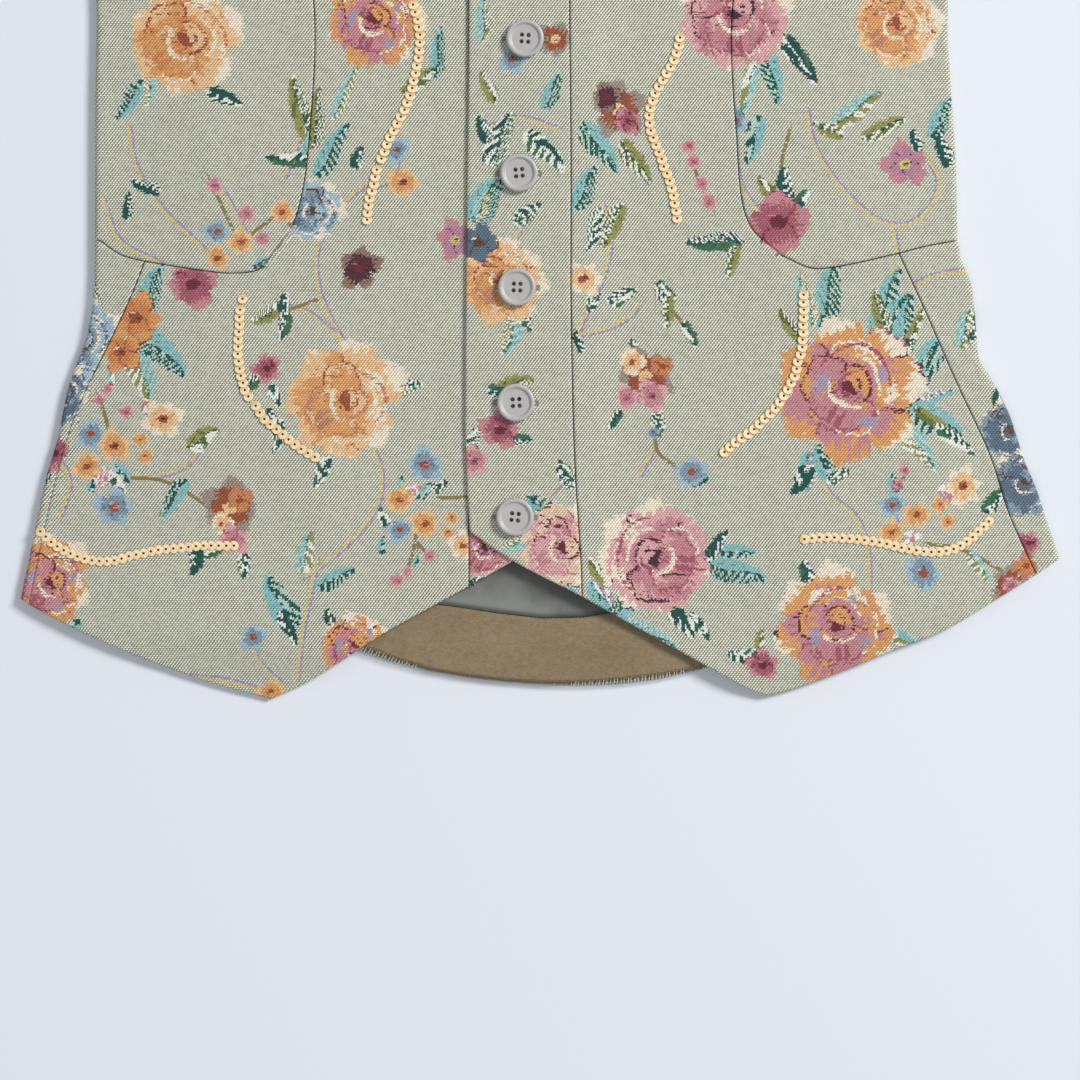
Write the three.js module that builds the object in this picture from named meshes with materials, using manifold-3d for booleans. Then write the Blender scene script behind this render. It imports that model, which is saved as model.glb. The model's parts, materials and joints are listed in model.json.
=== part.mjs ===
// Sleeveless single-breasted waistcoat in jacquard cloth, buttoned and laid flat on its back.
// Millimetres. +X is the wearer's left side, +Y runs up to the neck, +Z is up from the surface
// that it lies on. The origin is on that surface, at the middle of the outline's box.
//
// Each cut piece is a net of four-sided cells between its own seams. The net is raised to the
// cloth's height, turned round the side folds where the piece goes on to the back, and given
// the cloth's thickness. The back, its lining and its hem facing are flat slabs below it.
import * as THREE from 'three';
import { mergeVertices } from 'three/addons/utils/BufferGeometryUtils.js';
import Module from 'manifold-3d';

// ---------- driving dimensions ----------
const CLOTH = 1.6;                                  // jacquard and what backs it
const LINING = 1.0;                                 // satin lining and twill facing
const GAP = 0.3;                                    // between pieces, at seams and in the stack
const SIDE_TURN = 14;                               // the side pieces reach this far under
const LINING_INSET = 9;                             // the lining stops this far inside the side folds
const CROWN = 1.5;                                  // the fronts lie this much higher past the side folds
const CROWN_RUN = 60;                               // width over which they rise
const LAP_RUN = 34;                                 // width over which the upper front comes down again
const LAP_EDGE = 12;                                // where that starts, just past the lower band's edge
const PLACKET = { x: -9, calm: 34, run: 50 };       // the interfaced bands stay flat about this line
const DROOP = { start: 2, run: 30, height: 1.5 };   // the hem tips sink past the back's hem
const TURN_STEPS = 4;                               // flats round a side fold
const LINING_CLEAR = 6;                             // its sides start this far above the facing's ends

// a turned button with a raised rim, a dished middle and four holes; radius and height of its profile
const BUTTON_PROFILE = [[0, 0], [7.3, 0], [8.5, 0.9], [8.5, 2], [8, 2.7], [6.9, 2.7], [6, 1.9], [0, 1.8]];
const BUTTON_HOLES = { radius: 0.95, spread: 1.5, length: 10 };
const SIDES = { button: 24, hole: 8 };

// heights in the stack
const LINING_BASE = CLOTH + GAP;
const LINING_TOP = LINING_BASE + LINING;
const FRONT_MID = LINING_TOP + GAP + CLOTH / 2;
const FOLD_RADIUS = (FRONT_MID - CLOTH / 2) / 2;    // to the middle of the cloth
const FOLD_INSET = FOLD_RADIUS + CLOTH / 2;
const LAP_RISE = CLOTH + GAP;                       // the upper band lies on the lower one

// cells along each run of seam
const CELLS = {
  band: 3, waistFront: 7, waistMiddle: 4, waistSide: 2, low: 10, high: 16, top: 6,
  backHem: 26, facingSeam: 24, backNeck: 8,
};

// Rows of numbers as objects with the named columns.
const table = (columns, rows) =>
  rows.map((row) => Object.fromEntries(columns.map((name, i) => [name, row[i]])));
const path = (...rows) => table(['x', 'y'], rows);

// ---------- the cut, seam by seam ----------
// Every run goes from the hem upwards, or from the front edge outwards. The side folds close
// hemSide, waistSide and armholeLow, so those runs leave their last point out.
const RIGHT = {
  outward: 1,
  bandSeamLow: path([18.9, -253.7], [18.4, -238], [16.6, -210.5], [15.2, -183], [13.9, -119], [13.9, -100]),
  bandSeamHigh: path([13.9, -100], [13.9, -54], [13.3, 15], [13.3, 166]),
  neck: path([13.3, 166], [42, 238], [68, 300]),
  shoulder: path([68, 300], [156, 268]),
  armholeHigh: path([143.5, 165], [146.5, 215], [156, 268]),
  armholeLow: path([143.5, 165], [149.5, 140], [165, 113], [181, 101]),
  princess: path([108.5, -99.8], [94, -85.4], [88.2, -42.6], [86.9, 15], [100, 70], [122, 120], [143.5, 165]),
  waistFront: path([13.9, -100], [108.5, -99.8]),
  waistMiddle: path([108.5, -99.8], [122, -105.6], [132.3, -105.2], [161.6, -98.9]),
  waistSide: path([161.6, -98.9], [174, -95.6]),
  diagonal: path([223.7, -243.8], [211.3, -215.9], [202.7, -189.6], [188.4, -158.6], [171.7, -120.7],
    [161.6, -98.9]),
  hemInner: path([18.9, -253.7], [43.5, -267.6], [66, -280], [81, -288.4], [92, -294.5], [102, -298.3]),
  hemOuter: path([102, -298.3], [112, -296], [138.6, -286.5], [160, -277.5], [182, -269], [205.6, -255],
    [223.7, -243.8]),
  hemSide: path([223.7, -243.8]),
  sideLow: path([234.6, -237], [229.6, -221.7], [223.9, -204.6], [218.7, -192], [211.3, -170], [203, -154],
    [198.5, -147], [197, -135], [195.8, -120], [194.4, -111], [190.4, -102], [188.5, -93]),
  sideHigh: path([188.5, -93], [187.7, -57], [185.9, -30], [184, 5], [186.5, 50], [195, 95]),
};

const LEFT = {
  outward: -1,
  bandSeamLow: path([-32, -249], [-32, -100]),
  bandSeamHigh: path([-32, -100], [-32, 166]),
  neck: path([-32, 166], [-58, 235], [-84, 300]),
  shoulder: path([-84, 300], [-172, 268]),
  armholeHigh: path([-159.5, 165], [-162.5, 215], [-172, 268]),
  armholeLow: path([-159.5, 165], [-165.5, 140], [-181, 113], [-197, 101]),
  princess: path([-119.3, -97.5], [-112, -87], [-107.6, -74], [-103.5, -42], [-102, 15], [-114, 70],
    [-137, 120], [-159.5, 165]),
  waistFront: path([-32, -100], [-119.3, -97.5]),
  waistMiddle: path([-119.3, -97.5], [-126.5, -106], [-139.7, -107.9], [-153, -106.5], [-178.2, -102.5]),
  waistSide: path([-178.2, -102.5], [-189, -99.4]),
  diagonal: path([-230.4, -257.3], [-225.4, -232], [-218.4, -201], [-212.4, -180], [-205, -161],
    [-196.2, -143.2], [-183.8, -117], [-178.2, -102.5]),
  hemInner: path([-32, -249], [-46.5, -257], [-70.5, -270.4], [-88.5, -282], [-104, -291.6], [-121.5, -300]),
  hemOuter: path([-121.5, -300], [-146.7, -293.3], [-166, -286.5], [-190.8, -276.8], [-216.9, -264.5],
    [-230.4, -257.3]),
  hemSide: path([-230.4, -257.3]),
  sideLow: path([-234.6, -255], [-230, -233.6], [-223.2, -201], [-217.9, -183], [-213.2, -160.5],
    [-209, -148], [-204.8, -137], [-201.8, -120], [-201, -105], [-200.9, -93]),
  sideHigh: path([-200.9, -93], [-200.7, -30], [-200.3, 15], [-203, 50], [-211, 95]),
};

// the two button bands; the right one laps over the left one
const UPPER_BAND = {
  edge: path([-31.7, -224.4], [-33.1, -202], [-33.8, -183], [-33.2, -88], [-32.2, -3], [-32.5, 58]),
  hem: path([-31.7, -224.4], [-12.9, -237.2], [18.9, -253.7]),
  neck: path([-32.5, 58], [-17, 92], [13.3, 166]),
};
const LOWER_BAND = {
  edge: path([10, -225], [10, 60]),
  hem: path([10, -225], [-12.6, -238], [-32, -249]),
  neck: path([10, 60], [-4, 94], [-32, 166]),
};

// runs of the back from left to right; the hem's ends and the armholes' feet lie on the side folds
const BACK_HEM = path([-160, -264], [-81, -278], [-62, -284.6], [-36, -289.7], [-8.3, -292.8], [19.3, -293.7],
  [43.5, -292.2], [66, -288.2], [100, -278], [160, -260]);
const FACING_SEAM = path([-219, -229], [-160, -237], [-80, -250], [-45, -257.6], [-26.6, -259.2], [-13, -262],
  [5.4, -263.4], [19.3, -262.9], [30, -260.4], [74, -252], [150, -231], [217, -209]);
const BACK_NECK = path([68, 300], [40, 284], [-8, 278], [-56, 284], [-84, 300]);
const BACK_ARMHOLE = table(['half', 'y'], [[176, 108], [165, 140], [160, 180], [161, 220], [164, 268]]);
const CENTRE_X = -8;

// soft folds left in the flat cloth: middle, direction, half length, half width, height
const FOLDS = table(['x', 'y', 'turn', 'length', 'width', 'height'], [
  [170, -135, -28, 34, 13, 0.9],
  [120, -200, 80, 60, 20, 0.6],
  [62, -235, 118, 45, 16, -0.5],
  [150, -245, 12, 48, 16, 0.55],
  [150, -30, 84, 55, 16, 0.5],
  [55, 60, 75, 70, 16, 0.55],
  [105, 210, 60, 50, 18, 0.6],
  [-95, -215, 95, 60, 20, 0.6],
  [-150, -250, -14, 50, 15, 0.5],
  [-165, -140, 35, 34, 14, 0.7],
  [-150, -25, 94, 60, 15, 0.5],
  [-75, 55, 104, 65, 17, 0.5],
  [-120, 205, 118, 50, 18, 0.6],
]);

const BUTTONS = path([-8, 56], [-6.75, -3], [-9.45, -63.3], [-10.35, -114.6], [-10.8, -166.4],
  [-11.25, -217.7]);

const FINISHES = {
  jacquard: { color: 0xaeb0a2, roughness: 0.9 },
  lining: { color: 0x7b7d72, roughness: 0.5 },
  facing: { color: 0x897960, roughness: 0.9 },
  button: { color: 0xc0bebc, roughness: 0.35 },
};

// ---------- small geometry helpers ----------
const clamp01 = (t) => Math.min(Math.max(t, 0), 1);
const smooth = (from, to, t) => {
  const k = clamp01((t - from) / (to - from));
  return k * k * (3 - 2 * k);
};

// Evenly spaced points on a smooth curve through the given ones.
function run(points, cells) {
  const curve = new THREE.CatmullRomCurve3(points.map((p) => new THREE.Vector3(p.x, p.y, 0)));
  return curve.getSpacedPoints(cells).map(({ x, y }) => ({ x, y }));
}

const join = (first, second) => [...first, ...second.slice(1)];

// The value of one coordinate where a run of points crosses a value of the other.
function crossing(points, along, value, wanted) {
  const ends = points.slice(1).map((p, i) => [points[i], p]);
  const at = ends.find(([a, b]) => (a[along] - value) * (b[along] - value) <= 0);
  const nearest = points.reduce((m, p) => (Math.abs(p[along] - value) < Math.abs(m[along] - value) ? p : m));
  if (!at) return nearest[wanted];
  const [a, b] = at;
  const t = (value - a[along]) / (b[along] - a[along] || 1);
  return a[wanted] + t * (b[wanted] - a[wanted]);
}

// Moves the points of a closed anticlockwise loop inwards by a distance, with mitred corners.
function insetLoop(loop, distance) {
  const normal = (a, b) => {
    const length = Math.hypot(b.x - a.x, b.y - a.y);
    return { x: -(b.y - a.y) / length, y: (b.x - a.x) / length };
  };
  return loop.map((p, i) => {
    const before = normal(loop[(i + loop.length - 1) % loop.length], p);
    const after = normal(p, loop[(i + 1) % loop.length]);
    const reach = distance / (1 + before.x * after.x + before.y * after.y);
    return { ...p, x: p.x + reach * (before.x + after.x), y: p.y + reach * (before.y + after.y) };
  });
}

// Rows of points that fill the space between four runs.
function fill(bottom, top, inner, outer) {
  const across = bottom.length - 1;
  const up = inner.length - 1;
  const mix = (name, i, j) => {
    const u = i / across;
    const v = j / up;
    const sides = (1 - v) * bottom[i][name] + v * top[i][name]
      + (1 - u) * inner[j][name] + u * outer[j][name];
    const corners = (1 - v) * ((1 - u) * bottom[0][name] + u * bottom[across][name])
      + v * ((1 - u) * top[0][name] + u * top[across][name]);
    return sides - corners;
  };
  return inner.map((_, j) => bottom.map((__, i) => ({ x: mix('x', i, j), y: mix('y', i, j) })));
}

// One net of points and anticlockwise cells from grids that share whole runs.
function netOf(...grids) {
  const points = [];
  const cells = [];
  const known = new Map();
  const indexOf = (p) => {
    const key = `${p.x.toFixed(3)} ${p.y.toFixed(3)}`;
    if (!known.has(key)) known.set(key, points.push(p) - 1);
    return known.get(key);
  };
  for (const grid of grids) {
    for (let j = 1; j < grid.length; j += 1) {
      for (let i = 1; i < grid[j].length; i += 1) {
        const corners = [grid[j - 1][i - 1], grid[j - 1][i], grid[j][i], grid[j][i - 1]];
        const [a, b, , d] = corners;
        const turn = (b.x - a.x) * (d.y - a.y) - (b.y - a.y) * (d.x - a.x);
        const cell = corners.map(indexOf);
        cells.push(turn > 0 ? cell : cell.reverse());
      }
    }
  }
  return { points, cells };
}

const edgesOf = (cell) => cell.map((a, i) => [a, cell[(i + 1) % cell.length]]);

// The net's boundary, as the next point after each point on it.
function boundary({ cells }) {
  const used = new Set(cells.flatMap(edgesOf).map(([a, b]) => `${a} ${b}`));
  return new Map(cells.flatMap(edgesOf).filter(([a, b]) => !used.has(`${b} ${a}`)));
}

// Draws the whole boundary of a net inwards, by half the gap that a seam takes.
function trimmed(net) {
  const next = boundary(net);
  const order = [];
  for (let at = next.keys().next().value; order.length < next.size; at = next.get(at)) order.push(at);
  const moved = insetLoop(order.map((i) => net.points[i]), GAP / 2);
  const points = [...net.points];
  order.forEach((index, i) => { points[index] = moved[i]; });
  return { ...net, points };
}

// A closed solid of the given thickness about a raised net.
function thicken(points, net, thickness) {
  const normals = points.map(() => new THREE.Vector3());
  for (const [a, b, c, d] of net.cells) {
    const one = new THREE.Vector3().subVectors(points[c], points[a]);
    const other = new THREE.Vector3().subVectors(points[d], points[b]);
    const normal = one.cross(other).normalize();
    for (const i of [a, b, c, d]) normals[i].add(normal);
  }
  const shifted = (side) => points.map((p, i) => {
    return p.clone().addScaledVector(normals[i].clone().normalize(), side * thickness / 2);
  });
  const count = points.length;
  const index = [];
  for (const [a, b, c, d] of net.cells) {
    index.push(a, b, c, a, c, d);
    index.push(count + a, count + c, count + b, count + a, count + d, count + c);
  }
  for (const [a, b] of boundary(net)) index.push(count + a, count + b, b, count + a, b, a);
  const geometry = new THREE.BufferGeometry().setFromPoints([...shifted(1), ...shifted(-1)]);
  geometry.setIndex(index);
  geometry.computeVertexNormals();
  return geometry;
}

function slab(loop, base, thickness) {
  const shape = new THREE.Shape(loop.map((p) => new THREE.Vector2(p.x, p.y)));
  return new THREE.ExtrudeGeometry(shape, { depth: thickness, bevelEnabled: false }).translate(0, 0, base);
}

// ---------- side folds ----------
// The line of a side fold with its outward and upward directions, row by row.
function sideFold(half) {
  const line = join(run(half.sideLow, CELLS.low), run(half.sideHigh, CELLS.high));
  return line.map((p, i) => {
    const before = line[Math.max(i - 1, 0)];
    const after = line[Math.min(i + 1, line.length - 1)];
    const length = Math.hypot(after.x - before.x, after.y - before.y);
    const up = { x: (after.x - before.x) / length, y: (after.y - before.y) / length };
    const out = { x: half.outward * up.y, y: -half.outward * up.x };
    const at = (inset) => ({ x: p.x - out.x * inset, y: p.y - out.y * inset });
    return { out, up, at, crease: at(FOLD_INSET) };
  });
}

const FOLD_LENGTH = Math.PI * FOLD_RADIUS;
const TURN_LENGTHS = [
  ...Array.from({ length: TURN_STEPS + 1 }, (_, k) => FOLD_LENGTH * k / TURN_STEPS),
  FOLD_LENGTH + (SIDE_TURN - FOLD_INSET) / 2,
  FOLD_LENGTH + SIDE_TURN - FOLD_INSET,
];

// Adds the columns that go round the fold to a grid whose last column lies on it. They are
// laid out flat here, and each point keeps the row of the fold that it belongs to.
function withTurn(grid, rows) {
  return grid.map((row, j) => {
    const { crease, out } = rows[j];
    const turned = TURN_LENGTHS.map((s) => ({
      x: crease.x + out.x * s,
      y: crease.y + out.y * s,
      fold: rows[j],
    }));
    return [...row.slice(0, -1), ...turned];
  });
}

// ---------- the cloth's height ----------
const halves = { left: LEFT, right: RIGHT };
const folds = { left: sideFold(LEFT), right: sideFold(RIGHT) };
const backHemEnds = [folds.left[0].at(SIDE_TURN), folds.right[0].at(SIDE_TURN)];
const hemLine = run([backHemEnds[0], ...BACK_HEM, backHemEnds[1]], CELLS.backHem);

function softFolds(x, y) {
  return FOLDS.reduce((sum, fold) => {
    const angle = THREE.MathUtils.degToRad(fold.turn);
    const along = (x - fold.x) * Math.cos(angle) + (y - fold.y) * Math.sin(angle);
    const across = (y - fold.y) * Math.cos(angle) - (x - fold.x) * Math.sin(angle);
    return sum + fold.height * Math.exp(-((along / fold.length) ** 2) - (across / fold.width) ** 2);
  }, 0);
}

// Height of the middle of the cloth of either front.
function frontHeight(x, y, upper) {
  const fromLeft = x - crossing(folds.left.map((row) => row.crease), 'y', y, 'x');
  const fromRight = crossing(folds.right.map((row) => row.crease), 'y', y, 'x') - x;
  const fromFold = Math.min(fromLeft, fromRight);
  const inside = smooth(0, CROWN_RUN, fromFold);
  const loose = smooth(PLACKET.calm, PLACKET.calm + PLACKET.run, Math.abs(x - PLACKET.x));
  const flat = FRONT_MID + inside * (CROWN + loose * softFolds(x, y));
  const past = crossing(hemLine, 'x', x, 'y') - y;
  const droop = smooth(DROOP.start, DROOP.start + DROOP.run, past) * smooth(0, CROWN_RUN / 2, fromFold);
  const lap = upper ? LAP_RISE * (1 - smooth(LAP_EDGE, LAP_EDGE + LAP_RUN, x)) : 0;
  return flat + lap - droop * (flat - DROOP.height);
}

function raised(p, upper) {
  if (!p.fold) return new THREE.Vector3(p.x, p.y, frontHeight(p.x, p.y, upper));
  const { crease, out, up } = p.fold;
  const beyond = (p.x - crease.x) * out.x + (p.y - crease.y) * out.y;
  const along = (p.x - crease.x) * up.x + (p.y - crease.y) * up.y;
  const angle = Math.min(Math.max(beyond, 0) / FOLD_RADIUS, Math.PI);
  const reach = FOLD_RADIUS * Math.sin(angle) - Math.max(beyond - FOLD_LENGTH, 0);
  const height = CLOTH / 2 + FOLD_RADIUS * (1 + Math.cos(angle));
  return new THREE.Vector3(
    crease.x + out.x * reach + up.x * along,
    crease.y + out.y * reach + up.y * along,
    height,
  );
}

// ---------- pieces ----------
function clothSolid(upper, ...grids) {
  const net = trimmed(netOf(...grids));
  return thicken(net.points.map((p) => raised(p, upper)), net, CLOTH);
}

function frontPieces(half, rows) {
  const upper = half.outward > 0;
  const lowRows = rows.slice(0, CELLS.low + 1);
  const highRows = rows.slice(CELLS.low);
  const creases = (part) => part.map((row) => row.crease);
  const seams = {
    bandLow: run(half.bandSeamLow, CELLS.low),
    bandHigh: run(half.bandSeamHigh, CELLS.high),
    neck: run(half.neck, CELLS.top),
    shoulder: run(half.shoulder, CELLS.waistFront),
    armholeHigh: run(half.armholeHigh, CELLS.top),
    princess: run(half.princess, CELLS.high),
    waistFront: run(half.waistFront, CELLS.waistFront),
    waistMiddle: run(half.waistMiddle, CELLS.waistMiddle),
    waistSide: run([...half.waistSide, highRows[0].crease], CELLS.waistSide),
    armholeLow: run([...half.armholeLow, rows.at(-1).crease], CELLS.waistMiddle + CELLS.waistSide),
    diagonal: run(half.diagonal, CELLS.low),
    hem: join(run(half.hemInner, CELLS.waistFront), run(half.hemOuter, CELLS.waistMiddle)),
    hemSide: run([...half.hemSide, lowRows[0].crease], CELLS.waistSide),
  };
  const skirt = fill(seams.hem, join(seams.waistFront, seams.waistMiddle), seams.bandLow, seams.diagonal);
  const bodice = fill(seams.waistFront, seams.shoulder, join(seams.bandHigh, seams.neck),
    join(seams.princess, seams.armholeHigh));
  const sideFront = fill(join(seams.waistMiddle, seams.waistSide), seams.armholeLow, seams.princess,
    creases(highRows));
  const sidePanel = fill(seams.hemSide, seams.waistSide, seams.diagonal, creases(lowRows));
  return {
    front: clothSolid(upper, skirt, bodice),
    side_front: clothSolid(upper, withTurn(sideFront, highRows)),
    side_panel: clothSolid(upper, withTurn(sidePanel, lowRows)),
  };
}

function bandSolid(band, half) {
  const seam = join(run(half.bandSeamLow, CELLS.low), run(half.bandSeamHigh, CELLS.high));
  const edge = run(band.edge, CELLS.low + CELLS.high);
  const ends = [run(band.hem, CELLS.band), run(band.neck, CELLS.band)];
  return clothSolid(half.outward > 0, fill(...ends, edge, seam));
}

// The back's edges above the underarms, from the right one over the neck to the left one.
function upperBack() {
  const side = (sign) => BACK_ARMHOLE.map((row) => ({ x: CENTRE_X + sign * row.half, y: row.y }));
  const armhole = (sign, rows) => run([rows.at(-1).at(SIDE_TURN), ...side(sign)], CELLS.backNeck);
  return [
    ...armhole(1, folds.right).slice(1),
    ...run(BACK_NECK, CELLS.backNeck),
    ...armhole(-1, folds.left).reverse().slice(0, -1),
  ];
}

function backSolid() {
  const loop = [
    ...hemLine.slice(1, -1),
    ...folds.right.map((row) => row.at(SIDE_TURN)),
    ...upperBack(),
    ...folds.left.map((row) => row.at(SIDE_TURN)).reverse(),
  ];
  return slab(insetLoop(loop, GAP / 2), 0, CLOTH);
}

const facingSeam = run(FACING_SEAM, CELLS.facingSeam);

function liningSolid() {
  const sides = (rows, seamEnd) => rows.map((row) => row.at(LINING_INSET))
    .filter((p) => p.y > seamEnd.y + LINING_CLEAR);
  const loop = [
    ...facingSeam,
    ...sides(folds.right, facingSeam.at(-1)),
    ...upperBack(),
    ...sides(folds.left, facingSeam[0]).reverse(),
  ];
  return slab(insetLoop(loop, GAP / 2), LINING_BASE, LINING);
}

function facingSolid() {
  const loop = [...hemLine, ...[...facingSeam].reverse()];
  return slab(insetLoop(loop, GAP / 2), LINING_BASE, LINING);
}

// ---------- buttons ----------
const wasm = await Module();
wasm.setup();

function toManifold(geometry) {
  const bare = geometry.clone();
  bare.deleteAttribute('normal');
  bare.deleteAttribute('uv');
  const merged = mergeVertices(bare, 1e-4);
  return new wasm.Manifold(new wasm.Mesh({
    numProp: 3,
    vertProperties: new Float32Array(merged.attributes.position.array),
    triVerts: new Uint32Array(merged.index.array),
  }));
}

function fromManifold(solid) {
  const mesh = solid.getMesh();
  const geometry = new THREE.BufferGeometry();
  geometry.setAttribute('position', new THREE.BufferAttribute(mesh.vertProperties, 3));
  geometry.setIndex(new THREE.BufferAttribute(mesh.triVerts, 1));
  geometry.computeVertexNormals();
  return geometry;
}

function buttonSolid() {
  const { radius, spread, length } = BUTTON_HOLES;
  const profile = BUTTON_PROFILE.map(([r, z]) => new THREE.Vector2(r, z));
  const disc = toManifold(new THREE.LatheGeometry(profile, SIDES.button).rotateX(Math.PI / 2));
  const places = [[1, 1], [-1, 1], [-1, -1], [1, -1]];
  const holes = places.map(([x, y]) => {
    const pin = new THREE.CylinderGeometry(radius, radius, length, SIDES.hole).rotateX(Math.PI / 2);
    return toManifold(pin.translate(x * spread, y * spread, 0));
  });
  return fromManifold(holes.reduce((solid, pin) => solid.subtract(pin), disc));
}

// ---------- the garment ----------
const waistcoat = new THREE.Group();

function addPiece(name, geometry, finish, position = [0, 0, 0]) {
  const mesh = new THREE.Mesh(geometry, new THREE.MeshStandardMaterial({ ...finish, metalness: 0 }));
  mesh.name = name;
  mesh.position.set(...position);
  waistcoat.add(mesh);
}

addPiece('back', backSolid(), FINISHES.jacquard);
addPiece('back_lining', liningSolid(), FINISHES.lining);
addPiece('hem_facing', facingSolid(), FINISHES.facing);
for (const side of ['left', 'right']) {
  for (const [name, geometry] of Object.entries(frontPieces(halves[side], folds[side]))) {
    addPiece(`${name}_${side}`, geometry, FINISHES.jacquard);
  }
}
addPiece('band_left', bandSolid(LOWER_BAND, LEFT), FINISHES.jacquard);
addPiece('band_right', bandSolid(UPPER_BAND, RIGHT), FINISHES.jacquard);

const button = buttonSolid();
BUTTONS.forEach(({ x, y }, i) => {
  const seat = frontHeight(x, y, true) + CLOTH / 2 + GAP;
  addPiece(`button_${i + 1}`, button.clone(), FINISHES.button, [x, y, seat]);
});

export default waistcoat;
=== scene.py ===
"""Looks of a sleeveless jacquard waistcoat that lies buttoned and flat, on the frame of its solids.

Lengths in the tables are millimetres, and Blender gets metres. The pattern is charted in threads:
a column for each warp end and a row for each weft pick, counted from the chart's top left corner.
"""
import json
import math
from functools import cache
from itertools import product

import bpy
import numpy as np
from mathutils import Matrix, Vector
from mathutils.geometry import delaunay_2d_cdt
from mathutils.kdtree import KDTree

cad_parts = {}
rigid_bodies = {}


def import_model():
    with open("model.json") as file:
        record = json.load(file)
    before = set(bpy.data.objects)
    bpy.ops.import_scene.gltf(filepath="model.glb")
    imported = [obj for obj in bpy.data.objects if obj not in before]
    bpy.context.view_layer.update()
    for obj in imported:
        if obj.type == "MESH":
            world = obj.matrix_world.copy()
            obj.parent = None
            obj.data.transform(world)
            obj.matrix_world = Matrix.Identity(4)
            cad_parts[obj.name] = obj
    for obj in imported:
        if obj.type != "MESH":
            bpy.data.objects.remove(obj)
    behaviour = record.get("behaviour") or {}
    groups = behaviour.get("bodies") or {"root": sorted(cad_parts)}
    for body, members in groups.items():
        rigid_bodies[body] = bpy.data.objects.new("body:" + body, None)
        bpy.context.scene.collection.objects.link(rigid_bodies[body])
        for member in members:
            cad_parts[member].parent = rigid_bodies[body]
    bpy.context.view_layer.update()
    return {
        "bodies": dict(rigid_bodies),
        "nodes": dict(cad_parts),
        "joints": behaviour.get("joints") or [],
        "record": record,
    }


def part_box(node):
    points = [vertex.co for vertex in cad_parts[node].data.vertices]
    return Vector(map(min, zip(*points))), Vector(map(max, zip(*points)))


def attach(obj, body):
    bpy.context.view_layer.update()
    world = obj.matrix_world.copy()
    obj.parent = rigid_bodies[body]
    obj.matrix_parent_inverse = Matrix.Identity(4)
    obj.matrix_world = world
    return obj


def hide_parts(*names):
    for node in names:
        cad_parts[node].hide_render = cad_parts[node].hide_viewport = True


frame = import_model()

bl_info = {
    "name": "Jacquard Waistcoat",
    "version": (1, 0, 0),
    "blender": (4, 5, 0),
    "location": "View3D > Sidebar > Waistcoat",
    "description": "Builds the cloth, buttons, sequins and sewing of a jacquard waistcoat",
    "category": "Object",
}

MM = 0.001

# ---------- sizes that the solids share ----------
CLOTH = 1.6
LINING = 1.0
GAP = 0.3
SIDE_TURN = 14.0
LINING_INSET = 9.0
LINING_CLEAR = 6.0
CROWN = {"height": 1.5, "run": 60.0}
LAP = {"rise": CLOTH + GAP, "span": (12.0, 46.0)}
PLACKET = {"x": -9.0, "span": (34.0, 84.0)}
DROOP = {"span": (2.0, 32.0), "height": 1.5}
CREASES_START = 14.0
LINING_BASE = CLOTH + GAP
LINING_TOP = LINING_BASE + LINING
FRONT_MID = LINING_TOP + GAP + CLOTH / 2
FOLD_RADIUS = (FRONT_MID - CLOTH / 2) / 2
FOLD_INSET = FOLD_RADIUS + CLOTH / 2
CELLS = {"band": 3, "waist_front": 7, "waist_middle": 4, "waist_side": 2, "low": 10, "high": 16, "top": 6}
CENTRE_X = -8.0
HEM_POINTS, FACING_POINTS, CURVE_POINTS = 27, 25, 9

RIGHT = {
    "outward": 1,
    "band_low": [(18.9, -253.7), (18.4, -238), (16.6, -210.5), (15.2, -183), (13.9, -119), (13.9, -100)],
    "band_high": [(13.9, -100), (13.9, -54), (13.3, 15), (13.3, 166)],
    "neck": [(13.3, 166), (42, 238), (68, 300)],
    "shoulder": [(68, 300), (156, 268)],
    "armhole_high": [(143.5, 165), (146.5, 215), (156, 268)],
    "armhole_low": [(143.5, 165), (149.5, 140), (165, 113), (181, 101)],
    "princess": [(108.5, -99.8), (94, -85.4), (88.2, -42.6), (86.9, 15), (100, 70), (122, 120), (143.5, 165)],
    "waist_front": [(13.9, -100), (108.5, -99.8)],
    "waist_middle": [(108.5, -99.8), (122, -105.6), (132.3, -105.2), (161.6, -98.9)],
    "waist_side": [(161.6, -98.9), (174, -95.6)],
    "diagonal": [(223.7, -243.8), (211.3, -215.9), (202.7, -189.6), (188.4, -158.6), (171.7, -120.7),
                 (161.6, -98.9)],
    "hem_inner": [(18.9, -253.7), (43.5, -267.6), (66, -280), (81, -288.4), (92, -294.5), (102, -298.3)],
    "hem_outer": [(102, -298.3), (112, -296), (138.6, -286.5), (160, -277.5), (182, -269), (205.6, -255),
                  (223.7, -243.8)],
    "side_low": [(234.6, -237), (229.6, -221.7), (223.9, -204.6), (218.7, -192), (211.3, -170), (203, -154),
                 (198.5, -147), (197, -135), (195.8, -120), (194.4, -111), (190.4, -102), (188.5, -93)],
    "side_high": [(188.5, -93), (187.7, -57), (185.9, -30), (184, 5), (186.5, 50), (195, 95)],
}
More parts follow.
